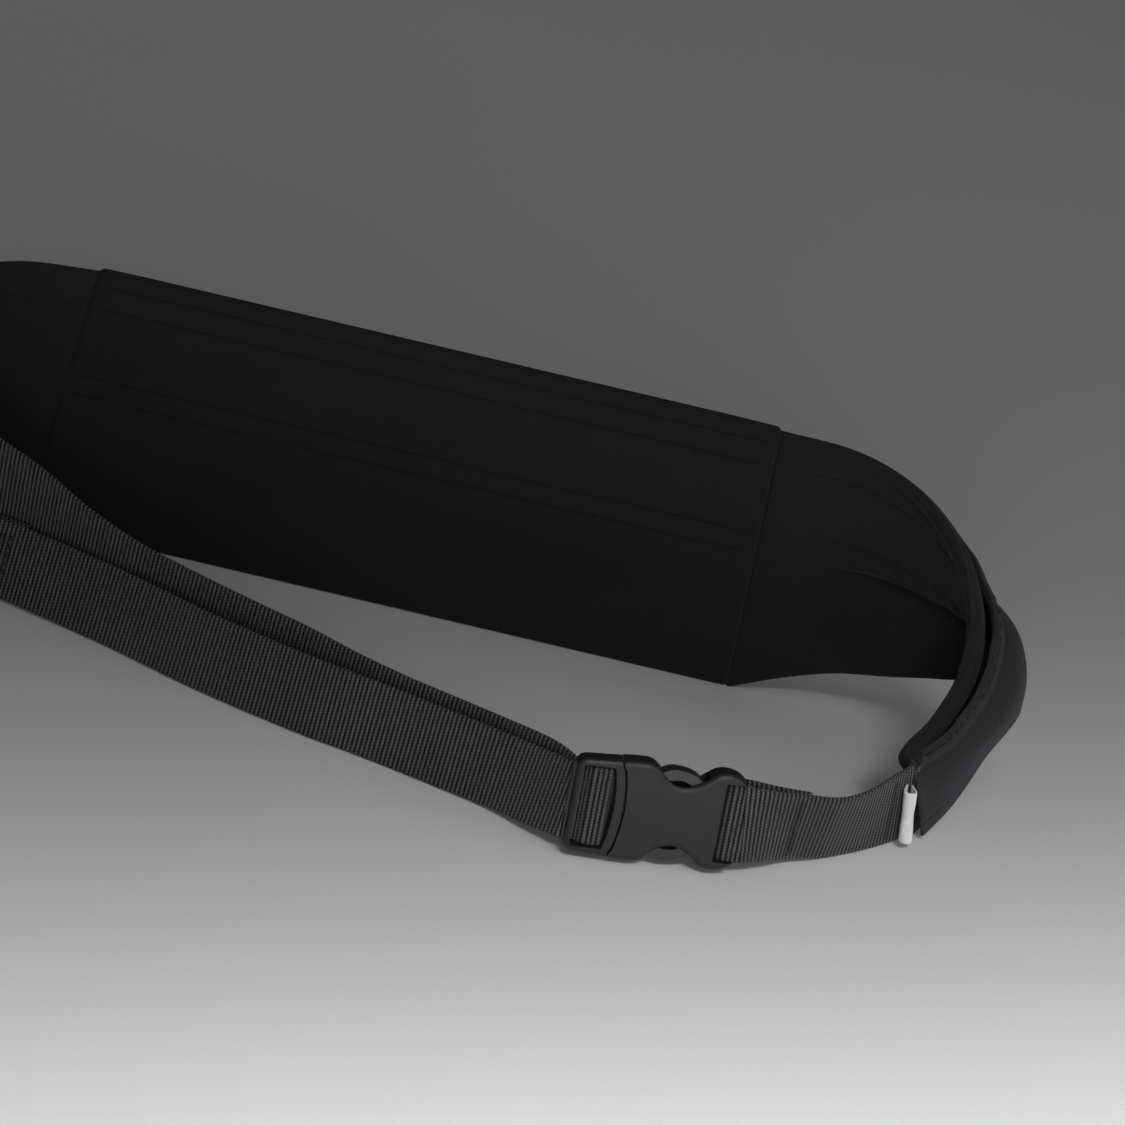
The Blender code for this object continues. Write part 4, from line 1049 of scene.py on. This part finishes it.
def pillow(outline, low, high, radius, corner, joint_side, steps=6):
    """Slab over an (x, z) outline with rounded rims; the rim on the joint's side stays crisp."""
    outline = np.array(outline, float)
    ahead = np.roll(outline, -1, axis=0) - np.roll(outline, 1, axis=0)
    normal = unit(np.stack([ahead[:, 1], -ahead[:, 0]], axis=1))
    area = np.sum(outline[:, 0] * np.roll(outline[:, 1], -1) - np.roll(outline[:, 0], -1) * outline[:, 1])
    normal = normal * np.sign(area)
    height = outline[:, 1] / np.abs(outline[:, 1]).max()
    crisp = ease((normal[:, 0] * joint_side - 0.75) / 0.15)
    near = np.maximum(crisp, 1 - ease((np.abs(outline[:, 0] - corner) - 1) / 2))[:, None]
    pulled = np.column_stack([normal[:, 0] * 0.4 * crisp, height ** 5 * radius])
    inset = normal * radius * (1 - near) + pulled * near
    depth = radius * (1 - crisp) + crisp * (0.4 + (radius - 0.4) * np.abs(height) ** 9)
    rings = []
    quarter = np.linspace(0, pi / 2, steps + 1)
    for level, inward, turns in ((low, 1, quarter[::-1]), (high, -1, quarter)):
        for angle in turns:
            ring = outline - inset * (1 - cos(angle))
            rings.append(np.column_stack([ring[:, 0], level + inward * depth * (1 - sin(angle)), ring[:, 1]]))
    return np.concatenate(rings), ring_faces(len(rings), len(outline))


WINDOW = 12.95


def make_socket():
    upper = catmull(SOCKET_EDGE, np.linspace(0, 1, 90)).tolist()
    lower = [(x, -z) for x, z in reversed(upper)]
    outline = rounded([(*upper[0], 0.5)] + upper[1:] + lower[:-1] + [(*lower[-1], 0.5)], 0.1, 2)
    outline = outline + mouth(0.35, 15.4)[1:-1]
    steps = [("DIFFERENCE", *box_points((-17.4, -3.1, -13.8), (16.6, 3.1, 13.8))),
             ("DIFFERENCE", *prism_points(rounded(rectangle(19.4, -WINDOW, 22.4, WINDOW), 0.5), -7, 7)),
             ("DIFFERENCE", *box_points((21.9, -7, -WINDOW), (29, -1.5, WINDOW))),
             ("DIFFERENCE", *box_points((21.9, 1.5, -WINDOW), (29, 7, WINDOW))),
             ("bevel", 0.3, 3, 50)]
    body = pillow(outline, -4.3, 4.3, 2.0, -13.05, -1)
    socket = solid("buckle_socket", *body, PLASTIC, steps, "pack", BUCKLE)
    show(socket, "buckle_plastic", "buckle_female")


def make_plug():
    """Frame of the plug with its ladder bar and guide tongue."""
    outline = rounded([(-13.5, 16.0, 0.4), (-20.0, 15.6, 3.0), (-27.2, 15.2, 4.2), (-27.2, -15.2, 4.2),
                       (-20.0, -15.6, 3.0), (-13.5, -16.0, 0.4)], 2.0, 10) + mouth(0.0, 15.5)[1:-1]
    window = rounded([(-25.2, WINDOW, 1.3), (-25.2, -WINDOW, 1.3)] + mouth(-3.4, WINDOW), 0.9, 5)
    flare = [(x + 0.7 * np.sign(x + 19.8), z + 0.7 * np.sign(z)) for x, z in window]
    funnel, faces = prism_points(window, -4.9, -2.4)
    funnel[:len(window), 0] = [p[0] for p in flare]
    funnel[:len(window), 2] = [p[1] for p in flare]
    straight = prism_points(window, -6.0, 6.0)[0]
    bar = rounded(rectangle(-21.2, -13.6, -17.3, 13.6), 0.3, 2)
    tongue = rounded([(-13.4, -3.2), (12.5, -3.2, 2.0), (12.5, 3.2, 2.0), (-13.4, 3.2)], 0.3, 4)
    steps = [("DIFFERENCE", straight, faces), ("DIFFERENCE", funnel, faces),
             ("DIFFERENCE", *box_points((-28.6, -1.1, -WINDOW), (-24.2, 6.0, WINDOW))),
             ("UNION", *prism_points(bar, -1.7, 0.7)), ("UNION", *prism_points(tongue, -2.5, 2.5))]
    for side in (1, -1):
        low, high = sorted((side * 5.9, side * 12.3))
        steps.append(("DIFFERENCE", *box_points((-12.0, -2.95, low), (0.0, 2.95, high))))
    steps.append(("bevel", 0.3, 3, 50))
    plug = solid("buckle_plug", *pillow(outline, -4.1, 3.3, 1.7, -13.5, 1), PLASTIC, steps, "plug", BUCKLE)
    show(plug, "buckle_plastic", "buckle_male")


def make_arms():
    """Spring arms: slim neck, press pad that swells out of the scallop, barbed tip."""
    outer = [(-11.6, 10.7, 0.3), (-8.6, 10.8), (-4.1, 12.0), (-1.2, 13.2), (0.6, 14.2), (2.6, 14.9),
             (5.4, 14.8), (8.6, 14.2), (10.8, 13.2), (12.6, 11.8), (14.2, 10.3, 0.6)]
    inner = [(13.6, 9.3, 0.4), (10.4, 9.7), (5.9, 11.7), (0.9, 10.7), (-3.6, 9.2), (-8.6, 8.6),
             (-11.6, 8.2, 0.3)]
    for name, side in (("upper", 1), ("lower", -1)):
        outline = [(x, side * z) for x, z in rounded(outer + inner, 1.6, 6)]
        arm = solid("spring_arm_" + name, *prism_points(outline, -2.6, 2.6), GLOSS_AND_PAINTED_HIGHLIGHT,
                    [("bevel", 0.8, 4, 50)], "arm_" + name, BUCKLE, 50)
        show(arm, "buckle_plastic", "buckle_arm_" + name)


# ---------------------------------------------------------------- zip

ZIP_Z = 70.0
TAPE_BACK = 10.7
COIL_BACK = 11.55


def squarish(value, power):
    """Value from -1 to 1 pushed towards its ends, which squares up a circle."""
    return np.sign(value) * np.abs(value) ** power


def tube(name, path, radius, sides, material, body):
    """Round tube along a path of points."""
    heading = unit(np.gradient(path, axis=0))
    first = np.cross(heading[0], [0.3, 0.2, 0.9])
    normal = first / np.linalg.norm(first)
    rings = []
    angles = np.arange(sides) * 2 * pi / sides
    for point, direction in zip(path, heading):
        normal = normal - direction * np.dot(normal, direction)
        normal = normal / np.linalg.norm(normal)
        other = np.cross(direction, normal)
        rings.append(point + radius * (np.cos(angles)[:, None] * normal + np.sin(angles)[:, None] * other))
    around = np.linspace(0, 2 * pi * radius, sides + 1)
    return sweep(name, np.array(rings), distances(path), around, material, body)


COIL_PITCH = 1.26
COIL_START = -85.4
COIL_STOP = 81.0
TAPE_END = 92
TAPE_PROFILE = [(1.4, 0.05), (1.7, 0.0), (7.8, 0.0), (7.8, 0.7), (3.2, 0.7), (2.6, 0.78), (1.7, 0.78),
                (1.4, 0.72)]


def make_tape(name, side):
    """Woven tape with a thicker corded edge next to the coil."""
    columns = np.linspace(-TAPE_END, TAPE_END, 400)
    rings = np.array([[(x, TAPE_BACK + y, ZIP_Z + side * z) for z, y in TAPE_PROFILE] for x in columns])
    rings[:, :, 1] += 0.05 * np.sin(rings[:, :, 0] * 0.9)
    around = np.array([0, 0.3, 6.4, 7.1, 11.7, 12.3, 13.2, 13.5, 14.2])
    tape = sweep("tape_" + name, rings, columns + TAPE_END, around, TAPE, "pack")
    show(tape, "zip_tape", "zip_tape_" + name)


def make_coil(name, side):
    """Flattened helix whose heads mesh with the other side's, and the sewing on its tape."""
    turns = int((COIL_STOP - COIL_START) / COIL_PITCH)
    angle = np.linspace(0, turns * 2 * pi, turns * 12)
    x = COIL_START + angle / (2 * pi) * COIL_PITCH + (COIL_PITCH / 2 if side > 0 else 0)
    wide = squarish(np.cos(angle), 0.7)
    deep = squarish(np.sin(angle), 0.7)
    path = np.stack([x, COIL_BACK + 0.9 + 0.55 * deep, ZIP_Z + side * (1.02 + 0.92 * wide)], axis=1)
    show(tube("coil_" + name, path, 0.29, 6, COIL, "pack"), "zip_coil", "zip_coil_" + name)
    x = np.arange(COIL_START + 0.6, COIL_STOP - 0.4, COIL_PITCH)
    spots = np.stack([x, np.full_like(x, COIL_BACK + 1.72), np.full_like(x, ZIP_Z + side * 1.5)], axis=1)
    ahead = np.repeat([[1.0, 0, 0]], len(x), 0)
    front = np.repeat([[0, 1.0, 0]], len(x), 0)
    stitches("coil_sewing_" + name, [(spots, ahead, front)], "pack", THREAD, 0.13, 1.0)


def make_stop(name, x):
    outline = rounded(rectangle(x - 1.2, 67.8, x + 1.2, 72.2), 0.4, 3)
    stop = solid("stop_" + name, *prism_points(outline, COIL_BACK, COIL_BACK + 1.75), METAL,
                 [("bevel", 0.4, 3, 45)], "pack")
    show(stop, "zip_metal", "zip_stop_" + name)


def make_zip():
    for name, side in (("upper", 1), ("lower", -1)):
        make_tape(name, side)
        make_coil(name, side)
    make_stop("closed", 88.0)
    make_stop("open", -88.0)
    make_slider()
    make_pull()


PULL_AXIS = np.array([82.0, 17.65, ZIP_Z])


def make_slider():
    place = Matrix.Translation(Vector((PULL_AXIS[0] * MM, 0.0, ZIP_Z * MM)))
    plate = rounded([(-5.5, -3.5, 0.8), (-4.7, -4.2), (0, -4.3), (4.3, -3.2), (5.5, -2.0, 0.6),
                     (5.5, 2.0, 0.6), (4.3, 3.2), (0, 4.3), (-4.7, 4.2), (-5.5, 3.5, 0.8)], 1.6, 5)
    arch = rounded([(-4.3, 14.8), (-3.7, 17.3, 1.2), (-2.2, 18.3, 1.0), (2.2, 18.3, 1.0), (3.7, 17.3, 1.2),
                    (4.3, 14.8), (2.9, 14.8), (2.3, 16.95, 0.6), (-2.3, 16.95, 0.6), (-2.9, 14.8)], 0.3, 4)
    bridge = np.array([(x, y, z) for z in (-0.9, 0.9) for x, y in arch])
    steps = [("bevel", 0.45, 4, 45), ("UNION", *prism_points(plate, 9.0, 10.3)),
             ("UNION", *box_points((1.3, 9.8, -0.8), (4.7, 14.2, 0.8))),
             ("UNION", bridge, ring_faces(2, len(arch))), ("bevel", 0.22, 2, 50)]
    slider = solid("slider_body", *prism_points(plate, 13.75, 15.05), METAL, steps, "slider", place)
    show(slider, "zip_metal", "zip_slider")


def make_pull():
    """A wire ring round the slider's bridge, and a moulded grip with finger ridges below it."""
    angles = np.radians(np.linspace(-90 + 6, 270 - 6, 60))
    ring = PULL_AXIS + 1.98 * np.stack([np.zeros_like(angles), np.cos(angles), np.sin(angles)], axis=1)
    tube("pull_ring", ring, 0.5, 12, METAL, "pull")
    length = 20.4
    t = np.linspace(0, 1, 90)[:, None]
    turns = np.arange(24) * 2 * pi / 24
    end = np.sqrt(np.clip(1 - ((t - 0.5) / 0.5) ** 10, 0.02, 1))
    wide = (1.4 + 1.6 * ease(t / 0.28)) * end
    ridge = 0.16 * np.sin(t * length * 2 * pi / 1.7) * ease((t - 0.34) / 0.05) * (1 - ease((t - 0.86) / 0.05))
    thick = (0.78 + ridge) * end
    rings = PULL_AXIS + np.stack([wide * squarish(np.cos(turns), 0.55), thick * squarish(np.sin(turns), 0.55),
                                  -1.6 - length * t + 0 * turns], axis=-1)
    grip = sweep("pull_grip", rings, t[:, 0] * length, np.linspace(0, 12, 25), GRIP, "pull")
    show(grip, "pull_grip", "zip_pull")


# ---------------------------------------------------------------- tab, lining and elastics

TAB_HEIGHT = 18.0


def make_tab():
    """White ribbon folded into a loop, standing at the end of the right wing."""
    foot = np.array([178.6, -68.6, 2.4])
    outward = unit(np.array([0.10, -0.99, 0.0]))
    along = np.array([outward[1], -outward[0], 0.0])
    up = unit(np.array([-0.14, 0.10, 0.985]))
    share = np.linspace(0, 1, 90)
    reach = 5.4 * np.sin(pi * share) ** 0.75
    wide = 3.3 * np.cos(pi * share) * (0.25 + 0.75 * np.sin(pi * share))
    centre = foot + outward * reach[:, None] + along * wide[:, None]
    heading = unit(np.gradient(centre, axis=0))
    side = unit(np.cross(up, heading))
    rings = []
    heights = np.linspace(0.35, TAB_HEIGHT - 0.35, 40)
    for sign in (1, -1):
        for z in heights[::sign]:
            neck = 1 - 0.14 * hump(z, 9.5, 3.6)
            rings.append((centre - foot) * neck + foot + up * z + side * (0.32 * sign))
        rings.append(centre + up * TAB_HEIGHT * (1 + sign) / 2)
    rings = np.stack(rings, axis=1)
    around = np.concatenate([np.linspace(0, 17.3, 40), [17.9], 18.5 + np.linspace(0, 17.3, 40), [36.4, 37.0]])
    show(sweep("ribbon_tab", rings, distances(centre), around, RIBBON, "pack"), "tab_ribbon", "side_tab")


def make_inside():
    """Lining mesh and the two elastics behind the back panel."""
    for node, material, slot, wobble in (("pocket_lining", LINING, "lining_mesh", 0.12),
                                         ("elastic_band_upper", ELASTIC, "elastic", 0.0),
                                         ("elastic_band_lower", ELASTIC, "elastic", 0.0)):
        low, high = (np.array(corner) * 1000 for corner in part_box(node))
        depth = (high[1] - low[1]) / 2

        def middle(u, v, low=low, high=high):
            return np.stack([low[0] + (high[0] - low[0]) * u, np.full_like(u, (low[1] + high[1]) / 2),
                             low[2] + (high[2] - low[2]) * v], axis=-1)

        def relief(u, v, wobble=wobble):
            return wobble * waves(u * 200, v * 80, 7, 45.0)

        def half(u, v, sign, depth=depth, wobble=wobble):
            rib = 0.0 if wobble else 0.06 * np.sin(v * 2 * pi * 7)
            return (depth - wobble * 0.3 + rib) * np.ones_like(u)

        cloth = Cloth(middle, -1, high[0] - low[0], high[2] - low[2], half, relief)
        show(cloth.build(node + "_cloth", 160, 43, material, "pack"), slot, node)


# ---------------------------------------------------------------- floor and light

LIGHTS = (("front", (0.35, -0.80, 0.95), (1.10, 0.25), 3.0, 38.0, (0.20, -0.45, 0.0)),
          ("fill", (0.30, -1.70, 0.60), (0.9, 0.9), 5.6, 180.0, (0.05, -0.05, 0.04)),
          ("high", (0.30, -0.45, 1.20), (0.5, 0.5), 0.8, 180.0, (0.08, -0.05, 0.03)),
          ("side", (1.05, -0.30, 0.60), (0.6, 0.6), 1.6, 180.0, (0.1, -0.05, 0.03)),
          ("back", (-0.50, 2.20, 0.35), (1.4, 0.5), 5.0, 180.0, (-0.02, 0.0, 0.05)))


def make_studio():
    floor = Graph("floor", (0.62, 0.62, 0.63), 0.75)
    patch = floor.noise(2.0, 2.0, 0.5)
    patch = floor.spread(patch, 0.0, 1.0, 0.35, 0.65)
    floor.colour(floor.blend(patch, (0.60, 0.60, 0.61), (0.64, 0.64, 0.65)))
    corners = [(x, y, -0.02) for x, y in rectangle(-3000, -3000, 3000, 3000)]
    ground = mesh_from("floor", corners, [(0, 1, 2, 3)], None, floor.material, None)
    bpy.context.scene.view_settings.view_transform = "Standard"
    world = bpy.data.worlds.new("studio")
    bpy.context.scene.world = world
    world.use_nodes = True
    world.node_tree.nodes["Background"].inputs[0].default_value = (0.95, 0.96, 1.0, 1.0)
    world.node_tree.nodes["Background"].inputs[1].default_value = 0.06
    for name, place, size, power, spread, target in LIGHTS:
        data = bpy.data.lights.new(name, "AREA")
        data.shape = "RECTANGLE"
        data.size, data.size_y = size
        data.energy = power
        data.spread = radians(spread)
        lamp = placed(name, data)
        lamp.location = place
        lamp.rotation_euler = (Vector(place) - Vector(target)).to_track_quat("Z", "Y").to_euler()


make_camera()
make_covers()
make_sewn_rows()
make_fixed_strap()
make_adjustable_strap()
make_free_end()
make_bartacks()
make_socket()
make_plug()
make_arms()
make_zip()
make_tab()
make_inside()
make_studio()
